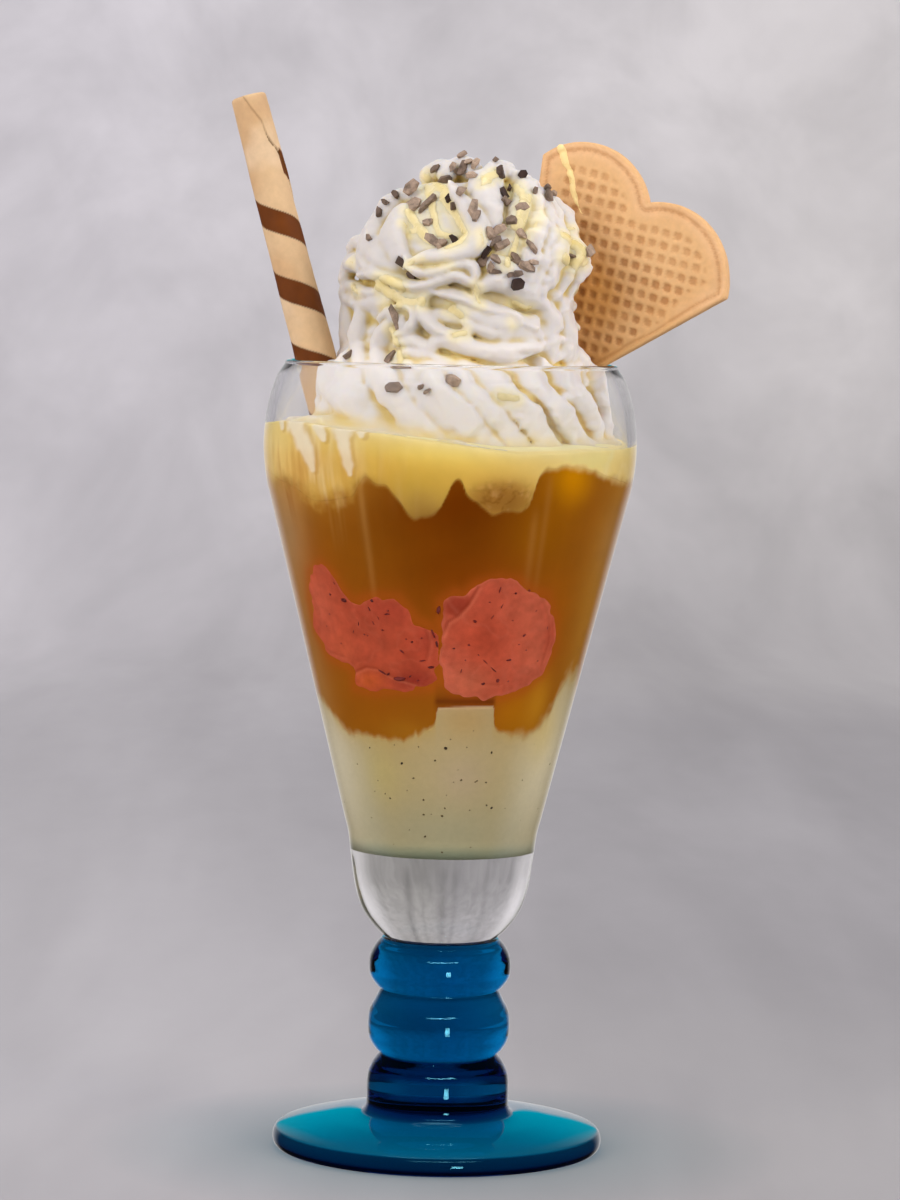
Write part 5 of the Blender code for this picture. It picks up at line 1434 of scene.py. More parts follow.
    # the long smooth lobe above the rim
    rb([(434, 349), (440, 342), (449, 340), (464, 345), (484, 351), (505, 352), (526, 347), (549, 342), (557, 343)],
       [0.8, 1.8, 2.4, 2.6, 2.7, 2.6, 2.3, 1.6, 0.8], [2.4, 3.4, 3.8, 4.0, 4.0, 4.0, 3.6, 2.8, 1.8], 3.7, k=0.2, comb=0.14, sharp=1.85)
    rb([(398, 357), (412, 352), (430, 355), (450, 362), (470, 368)], [1.1, 1.6, 1.8, 1.7, 1.1], [2.2, 2.6, 2.8, 2.6, 2.0], 1.9, k=0.3, sharp=1.7)
    rb([(412, 364), (432, 366), (452, 371)], [1.1, 1.6, 1.1], [1.8, 2.2, 1.8], 1.0, k=0.3)
    rb([(398, 309), (409, 306), (417, 315), (413, 329), (398, 335)], [1.1, 1.5, 1.7, 1.5, 0.9], [2.2, 2.8, 2.8, 2.4, 1.8], 2.3, k=0.25, sharp=1.7)
    rb([(396, 319), (404, 322), (404, 330)], [1.0, 1.4, 1.0], [1.6, 2.0, 1.6], 1.0, k=0.3)
    rb([(383, 318), (392, 312), (400, 318)], [1.0, 1.5, 1.0], [1.8, 2.4, 1.8], 1.4, k=0.3, sharp=1.7)
    rb([(400, 343), (414, 340), (426, 345), (434, 351)], [1.0, 1.5, 1.5, 1.0], [2.0, 2.4, 2.4, 1.8], 1.7, k=0.3, sharp=1.7)
    # lobe under the top right
    rb([(477, 294), (484, 286), (496, 282), (510, 286), (526, 297), (543, 311), (553, 326)],
       [1.2, 2.2, 2.9, 3.2, 3.2, 2.8, 1.6], [2.4, 3.2, 3.6, 3.6, 3.4, 3.0, 2.0], 2.4, k=0.3, comb=0.12, sharp=1.8)
    rb([(496, 264), (508, 273), (522, 283), (538, 292)], [2.2, 2.8, 2.8, 2.0], [2.4, 2.6, 2.6, 2.0], 1.8, k=0.5)
    # broad torn ridges down the right side, close together
    rb([(525, 183), (533, 205), (537, 233), (528, 267), (520, 283)], [1.6, 2.5, 2.9, 2.6, 1.5], [2.4, 3.0, 3.2, 3.0, 2.2], 2.2, k=0.35, comb=0.5, sharp=1.7)
    rb([(541, 188), (546, 213), (547, 243), (538, 272), (528, 290)], [1.6, 2.6, 2.8, 2.4, 1.6], [2.2, 2.8, 3.0, 2.8, 2.0], 1.2, k=0.9, comb=0.4, sharp=1.7)
    rb([(553, 197), (557, 225), (557, 253), (548, 275), (537, 292)], [1.6, 2.8, 3.2, 2.8, 1.6], [2.4, 3.0, 3.4, 3.0, 2.2], 2.1, k=0.5, comb=0.5, sharp=1.7)
    rb([(563, 206), (570, 232), (572, 256), (564, 276), (552, 293)], [1.6, 2.6, 2.8, 2.4, 1.6], [2.2, 2.8, 3.0, 2.8, 2.0], 1.2, k=0.9, comb=0.4, sharp=1.7)
    rb([(570, 213), (583, 240), (590, 257), (583, 276), (567, 293)], [1.6, 2.7, 3.0, 2.7, 1.6], [2.4, 3.0, 3.4, 3.0, 2.2], 2.0, k=0.5, comb=0.5, sharp=1.7)
    rb([(580, 300), (588, 310), (583, 326)], [1.5, 2.4, 1.5], [2.0, 2.6, 2.0], 1.2, k=0.4, comb=0.3)
    rb([(572, 318), (580, 334), (577, 350), (584, 366)], [1.6, 2.5, 2.5, 1.8], [2.0, 2.6, 2.6, 2.0], 1.1, k=0.6, comb=0.35, sharp=1.8)
    rb([(556, 300), (562, 322), (561, 345), (568, 368)], [2.0, 3.0, 3.2, 2.2], [2.2, 2.8, 2.8, 2.2], 0.9, k=1.0, comb=0.3)
    rb([(543, 318), (547, 335), (547, 354)], [1.6, 2.2, 1.6], [2.0, 2.4, 2.0], 0.9, k=0.8)


def cream_field():
    field = Field()
    x, y, z = GX[:, None, None], GY[None, :, None], GZ[None, None, :]
    r, cx = cream_radius(GZ)
    flat = np.interp(GZ, [186, 197], [0.90, 1.0])
    full = 3.0 - np.interp(GX, [12, 24], [0.0, 1.3])[:, None, None] * np.interp(GZ, [205, 212, 226, 232], [0, 1, 1, 0])[None, None, :]
    core = (np.sqrt((x - cx) ** 2 + (y / flat) ** 2) - (r - full)).astype(np.float32) * 0.9
    top = (z - 232.8) * 0.8
    field.f = np.maximum(core, np.broadcast_to(top, SHAPE)).astype(np.float32)
    # the piped swirl, for every side
    coil(field, [(-0.20, 23.5, 178.0, 10.2, 0.0), (0.80, 23.6, 178.6, 10.4, 0.2), (1.15, 21.6, 184.5, 9.6, 0.6), (1.75, 17.4, 191.5, 9.6, 2.2),
                 (2.75, 17.4, 202.0, 10.0, 2.8), (3.55, 17.4, 212.0, 9.8, 4.0), (4.30, 14.2, 219.5, 9.2, 4.4), (4.95, 9.2, 226.0, 8.2, 4.2),
                 (5.45, 4.0, 230.0, 6.4, 4.0), (5.7, 1.5, 232.0, 4.6, 4.4)], flutes=10, depth=0.26, twist=0.13, k=0.3, power=0.75)
    front(field)
    f = field.f
    # nothing piped by hand is even: the whole swirl is bent a little, the right side more
    push = np.interp(GX, [-30, -14, -6, 12, 20], [0.5, 0.3, 0.18, 0.3, 0.65])[:, None, None] * np.interp(GZ, [172, 180], [0.3, 1.0])[None, None, :]
    moved = [(axis + push * grid_noise(5.5, 2, 331 + k) * 2.2).astype(np.float32) for k, axis in enumerate((x, y, z))]
    f = sample(f, np.stack([m.ravel() for m in moved], -1)).reshape(SHAPE).astype(np.float32)
    f = f + 0.55 * grid_noise(9.0, 2, 301) + 0.16 * grid_noise(3.0, 2, 303)
    torn = (0.35 - np.abs(grid_noise(4.2, 2, 321, (1, 1, 0.55))) * 2.4)
    ruffled = np.interp(GX, [6, 16], [0.12, 0.32])[:, None, None] * np.interp(GZ, [170, 176], [0.3, 1.0])[None, None, :]
    f = f + (torn * ruffled).astype(np.float32)
    fine = grid_noise(1.6, 1, 305)
    f = f + 0.10 * fine
    # the melted foot spreads to the glass
    level = np.interp(np.degrees(np.arctan2(x, -y)), np.concatenate([AZ, [180.0]]), np.concatenate([custard_top, custard_top[:1]]))[:, :, 0]
    rise = z - level[:, :, None] - 1.6 * grid_noise(7.0, 2, 311) - 0.6
    foot = np.maximum((rise * 0.75), np.sqrt(x ** 2 + y ** 2) - 41.3).astype(np.float32)
    h = np.clip(0.5 + 0.5 * (f - foot) / 2.4, 0, 1)
    f = f + (foot - f) * h - 2.4 * h * (1 - h)
    # flat underneath, inside the custard; clear of the glass
    f = np.maximum(f, (170.2 - z).astype(np.float32))
    f[:, :, :] = np.maximum(f, (np.minimum(7.5 - np.abs(x), np.abs(y) - np.interp(GZ, [174.5, 175.5, 187, 188], [60, 33.6, 33.6, 60]))).astype(np.float32))
    side = np.sqrt(x ** 2 + y ** 2)
    wall = np.interp(GZ, [168, 173.5, 176.5, 186, 188, 189], [41.6, 41.6, 38.9, 37.4, 37.4, 60])
    return np.maximum(f, (side - wall).astype(np.float32))


def sample(grid, p):
    """Trilinear reading of a grid at points p (mm)."""
    q = np.clip((p - LOW) / VOX, 0, np.array(SHAPE) - 1.001)
    i = q.astype(int)
    f = q - i
    out = 0.0
    for a in (0, 1):
        for b in (0, 1):
            for c in (0, 1):
                w = (f[:, 0] if a else 1 - f[:, 0]) * (f[:, 1] if b else 1 - f[:, 1]) * (f[:, 2] if c else 1 - f[:, 2])
                out = out + grid[i[:, 0] + a, i[:, 1] + b, i[:, 2] + c] * w
    return out


def box_blur(grid, n):
    """Running mean over 2n+1 cells along each axis."""
    for axis in range(3):
        c = np.cumsum(np.pad(grid, [(n + 1, n) if k == axis else (0, 0) for k in range(3)], mode="edge"), axis=axis, dtype=np.float64)
        size = grid.shape[axis]
        hi = np.take(c, np.arange(2 * n + 1, 2 * n + 1 + size), axis=axis)
        lo = np.take(c, np.arange(0, size), axis=axis)
        grid = ((hi - lo) / (2 * n + 1)).astype(np.float32)
    return grid


def cavity(f, reach):
    """0.5 on flat ground, more in creases, less on ridges."""
    solid = np.clip(0.5 - f / VOX, 0, 1).astype(np.float32)
    n = max(1, int(round(reach / VOX)))
    return box_blur(box_blur(solid, n), n)


def frame_ray(px, py):
    focal, pitch, roll = 4300.0, math.radians(4.06), math.radians(1.14)
    dx, dy = px - 447.0, py - 600.0
    u, w = dx * math.cos(roll) + dy * math.sin(roll), -dx * math.sin(roll) + dy * math.cos(roll)
    return Vector((u, focal * math.cos(pitch) - w * math.sin(pitch), -focal * math.sin(pitch) - w * math.cos(pitch))).normalized()


def landing(tree, px, py):
    """Where the seen side is hit behind a frame point."""
    p, n, _, _ = tree.ray_cast(Vector((0.7, -1034.0, 206.5)), frame_ray(px, py))
    return (None, None) if p is None else (np.array(p), np.array(n))


DRIZZLE = [  # frame tracks with radius: where the yellow sauce lies on the cream
    ([(412, 172), (424, 178), (437, 186), (446, 196)], 1.7), ([(406, 212), (412, 222), (420, 233), (428, 242)], 1.8),
    ([(402, 224), (410, 232)], 1.3), ([(424, 184), (428, 200), (432, 216), (436, 232), (446, 236)], 1.5),
    ([(440, 196), (452, 214), (461, 228), (458, 240), (446, 247)], 2.0),
    ([(482, 178), (494, 173)], 1.7), ([(486, 181), (478, 186)], 1.1), ([(512, 186), (520, 198), (518, 212), (512, 226)], 1.7),
    ([(528, 196), (524, 214), (516, 232), (510, 250), (504, 264)], 1.5), ([(540, 210), (532, 226), (522, 244)], 1.1),
    ([(376, 284), (388, 281), (397, 288)], 2.3), ([(384, 292), (398, 300), (412, 303), (420, 301)], 1.7),
    ([(390, 294), (396, 305)], 1.9), ([(394, 280), (402, 268), (410, 262)], 1.2),
    ([(349, 286), (354, 292)], 1.3), ([(391, 331), (392, 342), (396, 354), (398, 360)], 1.8), ([(388, 329), (394, 327)], 1.3),
    ([(562, 236), (572, 244), (580, 252), (574, 262), (563, 258)], 2.3), ([(566, 228), (576, 236)], 1.6), ([(584, 262), (573, 271)], 1.1),
    ([(450, 310), (457, 314)], 1.9), ([(452, 334), (462, 333)], 1.3), ([(441, 350), (450, 357)], 1.2), ([(508, 322), (510, 326)], 0.8),
    ([(472, 286), (474, 296), (476, 302)], 1.2), ([(466, 293), (474, 290)], 1.2), ([(512, 303), (524, 308)], 1.6),
    ([(420, 262), (430, 266), (444, 264)], 1.1), ([(478, 234), (480, 243)], 1.4), ([(345, 260), (350, 263)], 0.9),
    ([(498, 397), (512, 399)], 1.6), ([(379, 308), (383, 303)], 0.9)]
# frame places of the chocolate: x, y, length, width, turn (degrees), shade 0 dark .. 1 light, the pale ones partly
# painted light where a piece catches the light
SHARDS = [(408, 188, 3.4, 2.4, 50, .6), (411, 206, 3.2, 2.6, 60, .8), (425, 205, 4.6, 1.6, 62, .5), (434, 169, 2.8, 1.6, 15, .3),
          (442, 179, 3.0, 1.8, 30, .3), (459, 156, 2.0, 1.4, 60, .5), (461, 168, 3.0, 1.8, 85, .3), (454, 171, 2.2, 1.8, 0, .7),
          (472, 165, 2.2, 1.4, 45, .8), (492, 161, 1.8, 1.1, 30, .3), (496, 173, 2.6, 2.0, 75, .1), (523, 171, 1.8, 1.8, 20, .0),
          (499, 193, 3.0, 2.6, 10, .0), (504, 202, 3.0, 2.2, 40, .5), (519, 206, 2.6, 2.2, 10, .5), (509, 221, 2.2, 1.9, 0, .4),
          (495, 228, 3.0, 1.8, 20, .7), (516, 233, 3.0, 1.6, -50, .7), (491, 241, 3.0, 1.8, 20, .5), (499, 245, 3.2, 2.0, 15, .6),
          (482, 251, 2.6, 1.8, 60, .0), (480, 262, 2.8, 2.0, 20, .5), (493, 260, 2.2, 1.3, -40, .6), (514, 263, 2.6, 1.7, -30, .4),
          (525, 267, 3.4, 1.7, -25, .7), (493, 271, 2.4, 1.3, -5, .3), (514, 274, 2.2, 1.2, 10, .3), (514, 284, 2.6, 2.2, 30, .0),
          (528, 249, 3.2, 1.1, -65, .5), (430, 241, 3.2, 1.9, -35, .6), (439, 244, 2.4, 1.8, 20, .6), (452, 241, 2.4, 1.3, -55, .0),
          (400, 261, 2.4, 1.6, -60, .1), (408, 277, 2.2, 1.5, -45, .1), (426, 223, 2.0, 1.6, 10, .7), (458, 193, 3.4, 1.9, 30, .6),
          (469, 210, 4.0, 1.9, 65, .7), (473, 217, 2.4, 1.6, 60, .5), (376, 213, 2.4, 1.6, -60, .2), (367, 239, 1.8, 1.2, -30, .5),
          (393, 319, 5.0, 1.5, -72, .5), (389, 357, 2.8, 1.8, 80, .4), (347, 355, 2.0, 1.2, 70, .3), (544, 194, 3.4, 1.8, 60, .4),
          (592, 245, 2.6, 2.0, 55, .7), (569, 257, 1.8, 1.0, 5, .4), (391, 389, 3.4, 2.6, 10, .4), (450, 383, 3.0, 1.9, -15, .8),
          (425, 392, 1.6, .8, 30, .6), (419, 388, 1.4, .8, 50, .6), (400, 372, 3.4, 1.2, 10, .6), (396, 370, 2.6, 1.2, 5, .8),
          (393, 196, 2.4, 1.2, -35, .2), (447, 200, 2.0, 1.4, 80, .0), (452, 205, 1.6, 1.0, 70, .2), (470, 176, 2.4, 1.8, 0, .8),
          (466, 163, 1.8, 1.4, 30, .8), (485, 233, 2.4, 1.6, 65, .7), (487, 236, 2.0, 1.6, 20, .5), (504, 188, 2.0, 1.4, 60, .0),
          (500, 200, 2.2, 1.4, -30, .4), (512, 257, 2.2, 1.3, -45, .5), (531, 262, 2.0, 1.3, -10, .8), (488, 266, 2.2, 1.5, 60, .7),
          (532, 192, 1.6, 1.2, 60, .3), (543, 189, 1.5, 1.0, -20, .3), (437, 248, 1.8, 1.3, -50, .8), (507, 274, 1.4, 1.0, 20, .3),
          (421, 209, 2.0, 1.4, 40, .5), (383, 203, 1.8, 1.0, -20, .3), (449, 168, 2.0, 1.4, 60, .6)]


def shard(centre, normal, length, width, thick, turn, rng):
    """A small broken flake: the hull of a few jittered corners, lying on the surface."""
    import bmesh
    n = normal / np.linalg.norm(normal)
    side = np.cross(n, [0, 0, 1.0])
    if np.linalg.norm(side) < 0.2:
        side = np.cross(n, [0, 1.0, 0])
    side /= np.linalg.norm(side)
    up = np.cross(side, n)
    a = math.radians(turn)
    u, v = side * math.cos(a) - up * math.sin(a), side * math.sin(a) + up * math.cos(a)
    pts = []
    corners = [(-1.05, -0.5), (-0.2, -1), (1, -0.8), (1.1, 0.3), (0.3, 1), (-0.9, 0.7)]
    for s in (-1, 1):
        for (cu, cv) in corners:
            if rng.rand() < 0.12:
                continue
            pts.append(centre + u * (cu * length / 2 * rng.uniform(0.75, 1.05)) + v * (cv * width / 2 * rng.uniform(0.65, 1.1))
                       + n * (s * thick / 2 * rng.uniform(0.5, 1.0)))
    bm = bmesh.new()
    for q in pts:
        bm.verts.new(Vector(q))
    res = bmesh.ops.convex_hull(bm, input=bm.verts)
    inner = {g for g in res["geom_interior"] + res["geom_unused"] if isinstance(g, bmesh.types.BMVert)}
    bmesh.ops.delete(bm, geom=list(inner), context="VERTS")
    bmesh.ops.bevel(bm, geom=list(bm.edges), offset=0.045, segments=1, affect="EDGES")
    bmesh.ops.triangulate(bm, faces=bm.faces)
    bm.verts.index_update()
    verts = np.array([list(q.co) for q in bm.verts])
    faces = np.array([[q.index for q in f.verts] for f in bm.faces])
    bm.free()
    return verts, faces


def sauce_field(tree):
    """Where custard has run over the cream."""
    sauce = Field()
    for track, radius in DRIZZLE:
        hits = [landing(tree, px, py)[0] for px, py in track]
        hits = [h for h in hits if h is not None]
        if len(hits) < 1:
            continue
        if len(hits) == 1:
            hits = [hits[0], hits[0] + [0.3, 0, -0.3]]
        line = catmull(hits, 5)
        sauce.sweep(line, radius, radius, k=0.8)
    rng = np.random.RandomState(77)
    for turn in range(26):           # and down the sides that face away
        a = rng.uniform(25, 335)
        z = rng.uniform(200, 231)
        origin = Vector((4 + 80 * math.sin(math.radians(a)), -80 * math.cos(math.radians(a)), z))
        p, n, _, _ = tree.ray_cast(origin, (Vector((4, 0, z)) - origin).normalized())
        if p is None or (a < 75 or a > 285) and p.y < -8:
            continue
        line = [np.array(p)]
        for k in range(rng.randint(1, 5)):
            origin = Vector((4 + 80 * math.sin(math.radians(a + 2 * k)), -80 * math.cos(math.radians(a + 2 * k)), z - 2.4 * (k + 1)))
            p, n, _, _ = tree.ray_cast(origin, (Vector((4, 0, origin.z)) - origin).normalized())
            if p is not None:
                line.append(np.array(p))
        if len(line) > 1:
            r = rng.uniform(1.2, 2.3)
            sauce.sweep(catmull(line, 4), np.linspace(r, r * 0.7, 4 * (len(line) - 1) + 1), r, k=0.8)
    return sauce, sauce.f + 0.4 + 0.7 * grid_noise(3.4, 2, 411)


def whipped_cream():
    f = cream_field()
    verts, quads = from_field("cream", f)
    tree = BVHTree.FromPolygons([tuple(v) for v in verts.tolist()], [tuple(q) for q in quads.tolist()])
    near = sample(cavity(f, 0.9), verts)
    wide = sample(cavity(f, 2.4), verts)
    # tone: white ridges; painted warm shade in the folds; yellow in deep creases, partly custard that has run in and
    # partly painted shade
    out = np.tile(lin(221, 215, 209), (len(verts), 1))
    fold = smooth(near, 0.5, 0.68)
    deep = smooth(wide, 0.52, 0.74)
    out += (lin(220, 199, 144) - out) * (0.95 * fold)[:, None]
    sauce_and_shade_patches = smooth(fbm(verts, 11.0, 2, 401), -0.15, 0.5)
    out += (lin(222, 194, 112) - out) * np.clip(deep * sauce_and_shade_patches * 1.3, 0, 0.9)[:, None]
    level = np.interp(np.degrees(np.arctan2(verts[:, 0], -verts[:, 1])), AZ, custard_top, period=360)
    # painted light and shade: brighter where it stands in the glass, darker above it, most on the big lobe at the upper
    # left
    high = smooth(verts[:, 2], 188, 200)
    out *= (1.0 + high * (np.interp(verts[:, 0], [-14, 8, 29], [0.76, 0.81, 0.90]) - 1.0))[:, None]
    low = smooth(level + 4.5 - verts[:, 2] + 2.0 * fbm(verts, 6.0, 2, 403), 0.0, 6.0)
    out += (lin(230, 204, 122) - out) * (low * 0.85)[:, None]
    sauce, sauce_d = sauce_field(tree)
    halo = smooth(-sample(sauce_d, verts), -2.2, 0.3)
    out += (lin(228, 214, 158) - out) * (halo * 0.6)[:, None]
    cream = outward_if_needed(make_mesh("whipped_cream_swirl", verts, quads, np.clip(out, 0, 1)))
    m = Mat("cream_mat", rough=0.42, Specular_IOR_Level=0.35)
    cloud = m.noise(420.0, 4.0, 0.6)
    m.colour(m.vary(m.attr("Paint"), cloud, 0.985, 1.01))
    m.rough(cloud, 0.34, 0.52)
    m.bump((cloud, 0.00012, 0.35), (m.noise(1500.0, 2.0, 0.5), 0.00004, 0.3))
    m.skin(0.7, (1.0, 0.82, 0.5), 0.003)
    finish_piece(cream, m, ["whipped_cream"])

    # custard run over the cream
    d = sauce_d
    swell = np.clip(-d / 2.2, 0, 1)
    g = np.maximum(f - (0.62 * swell * (2 - swell) - 0.1), d)
    g = np.maximum(g, -(f + 1.6))
    sv, sq = from_field("sauce", g)
    tone = np.tile(lin(222, 209, 166), (len(sv), 1))
    thick = np.clip(-sample(d, sv) / 1.8, 0, 1)
    tone += (lin(222, 200, 124) - tone) * (thick * 0.9)[:, None]
    drizzle = outward_if_needed(make_mesh("custard_drizzle", sv, sq, np.clip(tone, 0, 1)))
    m = Mat("drizzle_mat", rough=0.28, Specular_IOR_Level=0.45)
    cloud = m.noise(300.0, 3.0, 0.5)
    m.colour(m.vary(m.attr("Paint"), cloud, 0.97, 1.02))
    m.rough(cloud, 0.22, 0.36)
    m.bump((cloud, 0.0001, 0.2))
    finish_piece(drizzle, m)

    # broken chocolate
    rng = np.random.RandomState(91)
    items, cols = [], []

    def add(p, n, length, width, turn, shade):
        tilt = np.array(n) + rng.uniform(-0.35, 0.35, 3)
        items.append(shard(np.array(p) + np.array(n) * 0.45, tilt, length * 1.3, width * 1.3, rng.uniform(1.0, 1.9), turn, rng))
        # each piece's tone from dark to pale, partly painted light
        dark, pale = lin(58, 42, 36), lin(178, 154, 132)
        cols.append(dark + (pale - dark) * shade)

    for px, py, length, width, turn, shade in SHARDS:
        p, n = landing(tree, px, py)
        if p is None:
            for dy in (2, 4, 6, 8, 10, 12):
                p, n = landing(tree, px + (2 if px < 470 else -2) * dy / 2, py + dy)
                if p is not None:
                    break
        if p is not None:
            add(p, n, length, width, turn, shade)
    for _ in range(70):
        a, lift = rng.uniform(40, 320), rng.uniform(198, 236)
        origin = Vector((4 + 80 * math.sin(math.radians(a)), -80 * math.cos(math.radians(a)), lift + 40))
        p, n, _, _ = tree.ray_cast(origin, (Vector((4, 0, lift)) - origin).normalized())
        if p is None or p.y < -2 or n.z < 0.15:
            continue
        add(p, n, rng.uniform(1.6, 3.6), rng.uniform(1.2, 2.3), rng.uniform(0, 180), rng.rand())
    chips = join_blobs("chocolate_shards", items, cols)
    for poly in chips.data.polygons:
        poly.use_smooth = False
    m = Mat("chocolate_mat", rough=0.5, Specular_IOR_Level=0.3)
    grain = m.noise(480.0, 5.0, 0.7)
    m.colour(m.vary(m.attr("Paint"), grain, 0.45, 1.55))
    m.rough(grain, 0.4, 0.65)
    m.bump((grain, 0.00012, 0.5))
    finish_piece(chips, m)
    return tree


def outward_if_needed(obj):
    """Field surfaces come with their faces out already; this turns every face over if the signed volume comes out
    negative.
    """
    mesh = obj.data
    volume = 0.0
    import bmesh
    bm = bmesh.new()
    bm.from_mesh(mesh)
    volume = bm.calc_volume(signed=True)
    if volume < 0:
        bmesh.ops.reverse_faces(bm, faces=bm.faces)
        bm.to_mesh(mesh)
    bm.free()
    return obj


cream_tree = whipped_cream()

# ================================================================= rolled wafer
ROLL_A, ROLL_B = np.array(ROLL_LOW), np.array(ROLL_HIGH)
ROLL_LONG = float(np.linalg.norm(ROLL_B - ROLL_A))
ROLL_AXIS = (ROLL_B - ROLL_A) / ROLL_LONG
_front = np.array([0, -1.0, 0]) - ROLL_AXIS * (np.array([0, -1.0, 0]) @ ROLL_AXIS)
ROLL_FRONT = _front / np.linalg.norm(_front)
ROLL_RIGHT = np.cross(ROLL_AXIS, ROLL_FRONT) * -1.0
if ROLL_RIGHT[0] < 0:
    ROLL_RIGHT = -ROLL_RIGHT
# the free edge of the rolled sheet: (distance below the top, angle from the front towards +X)
ROLL_SEAM = [(-6.0, -40.0), (0.0, -18.0), (1.2, -9.0), (3.4, 2.0), (6.9, 24.0), (10.5, 29.0), (12.4, 38.0), (14.5, 56.0), (17.0, 76.0),
             (22.6, 98.0), (40.0, 150.0), (80.0, 260.0)]
STRIPE_PITCH, STRIPE_SHARE = 17.45, 0.358
# phase of the stripes: the middle of one passes the front this far along the axis
STRIPE_AT = 47.55


def roll_radius(s):
    return ROLL_RADIUS_LOW + (ROLL_RADIUS_HIGH - ROLL_RADIUS_LOW) * s / ROLL_LONG


def roll_place(s, phi, r):
    a = np.radians(phi)
    return ROLL_A + ROLL_AXIS * np.asarray(s)[..., None] + (ROLL_FRONT * np.cos(a)[..., None] + ROLL_RIGHT * np.sin(a)[..., None]) * np.asarray(r)[..., None]


def wafer_roll():
    around, along = ((144, 224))
    phi = np.arange(around) * 360.0 / around - 180
    seam = np.array(ROLL_SEAM)
    rows, marks, painted_shade = [], [], []

    def ring(s, r, keep=1.0):
        here = np.full(around, float(s))
        base = roll_place(here, phi, np.full(around, r))
        below = ROLL_LONG - here
        edge_at = np.interp(below, seam[:, 0], seam[:, 1])
        past = (phi - edge_at) % 360.0
        # the sheet thickens away from its free edge and steps down at it
        step = np.where(past < 2.6, past / 2.6, 1 - (past - 2.6) / 357.4)
        wave = fbm(base, 9.0, 2, 501) * 0.10 + fbm(base, 2.2, 3, 505) * 0.05
        gap = np.exp(-((past - 0.8) / 1.5) ** 2) * smooth(below, 8.0, 13.0) * smooth(-below, -24.0, -17.0)
        radius = r - keep * 0.42 * (1 - step) + keep * wave - keep * 0.5 * gap
        rows.append(roll_place(here, phi, radius))
        band = np.cos(2 * math.pi * (here - STRIPE_AT) / STRIPE_PITCH + np.radians(phi)) + 0.06 * fbm(base, 3.0, 3, 511)
        lap = (here - STRIPE_AT) / STRIPE_PITCH + phi / 360.0
        band = np.where(lap > 0.52, np.where((phi > 60) & (lap < 1.3) & (below > 12.5), band, -1.0), band)
        marks.append(band if keep > 0.5 else np.full(around, -1.0))
        # painted shadow along the seam: under the step and in the gap at the free edge
        painted_shade.append(gap * keep + 0.25 * np.exp(-((past - 1.2) / 1.6) ** 2) * keep)

    for s in np.linspace(0, ROLL_LONG - 0.9, along):
        ring(s, roll_radius(s))
    for t in np.radians([20, 40, 60, 80]):
        ring(ROLL_LONG - 0.9 + 0.8 * math.sin(t), roll_radius(ROLL_LONG) - 0.7 + 0.7 * math.cos(t))
    # the end shows the turns of the sheet
    for q in np.linspace(0.95, 0.0, 22):
        r = ROLL_BORE + (roll_radius(ROLL_LONG) - 0.75 - ROLL_BORE) * q
        here = np.full(around, ROLL_LONG - 0.12)
        turn = (r - ROLL_BORE) / 1.0 - phi / 360.0
        groove = np.clip(1 - np.abs((turn % 1.0) - 0.5) / 0.14, 0, 1)
        base = roll_place(here, phi, np.full(around, r))
        rows.append(base - ROLL_AXIS * (0.75 * groove + 0.15 * (fbm(base, 1.2, 2, 521) + 0.5))[:, None])
        marks.append(np.full(around, -1.0))
        # painted shade in the grooves between the turns of the sheet
        painted_shade.append(groove * 0.8)
    for s in (ROLL_LONG - 2.0, ROLL_LONG - 8.0, ROLL_LONG - 30.0, 0.0):
        rows.append(roll_place(np.full(around, s), phi, np.full(around, ROLL_BORE)))
        marks.append(np.full(around, -1.0))
        # painted shade inside the bore
        painted_shade.append(np.full(around, 0.6))
    n = len(rows)
    verts = np.concatenate(rows)
    quads = grid_faces(n, around)
    i = np.arange(around)
    j = (i + 1) % around
    last = (n - 1) * around
    quads = np.concatenate([quads, np.stack([last + i, last + j, j, i], -1)])
    band, dark = np.concatenate(marks), np.concatenate(painted_shade)
    inside = math.cos(math.pi * STRIPE_SHARE)
    tan = np.tile(lin(226, 187, 142), (len(verts), 1))
    tan += (lin(208, 160, 112) - tan) * (smooth(fbm(verts, 12.0, 3, 531), 0.0, 0.5) * 0.55)[:, None]
    tan += (lin(236, 204, 168) - tan) * (smooth(fbm(verts, 9.0, 3, 537), 0.05, 0.5) * 0.5)[:, None]
    tan *= np.array([0.85, 0.88, 0.88])
    brown = np.tile(lin(106, 54, 12), (len(verts), 1)) * (1 + 0.22 * fbm(verts, 4.0, 3, 541))[:, None]
    mid = np.clip((band - inside) / (1 - inside), 0, 1)
    brown += (lin(70, 38, 8) - brown) * (np.exp(-mid / 0.12) * 0.85)[:, None]
    stripe = smooth(band, inside - 0.035, inside + 0.035)
    out = tan + (brown - tan) * stripe[:, None]
    # painted shade: darker at the seam, in the grooves of the end and in the bore
    out += (lin(96, 66, 28) - out) * np.clip(dark * 1.1, 0, 0.9)[:, None]
    obj = outward(make_mesh("wafer_roll_striped", verts, quads, np.clip(out, 0, 1)))
    m = Mat("roll_mat", rough=0.55, Specular_IOR_Level=0.22)
    grain = m.noise(520.0, 4.0, 0.6)
    m.colour(m.vary(m.attr("Paint"), grain, 0.94, 1.05))
    m.rough(grain, 0.42, 0.66)
    m.bump((grain, 0.00012, 0.4), (m.noise(140.0, 3.0, 0.5), 0.0003, 0.25))
    return finish_piece(obj, m, ["wafer_roll"])


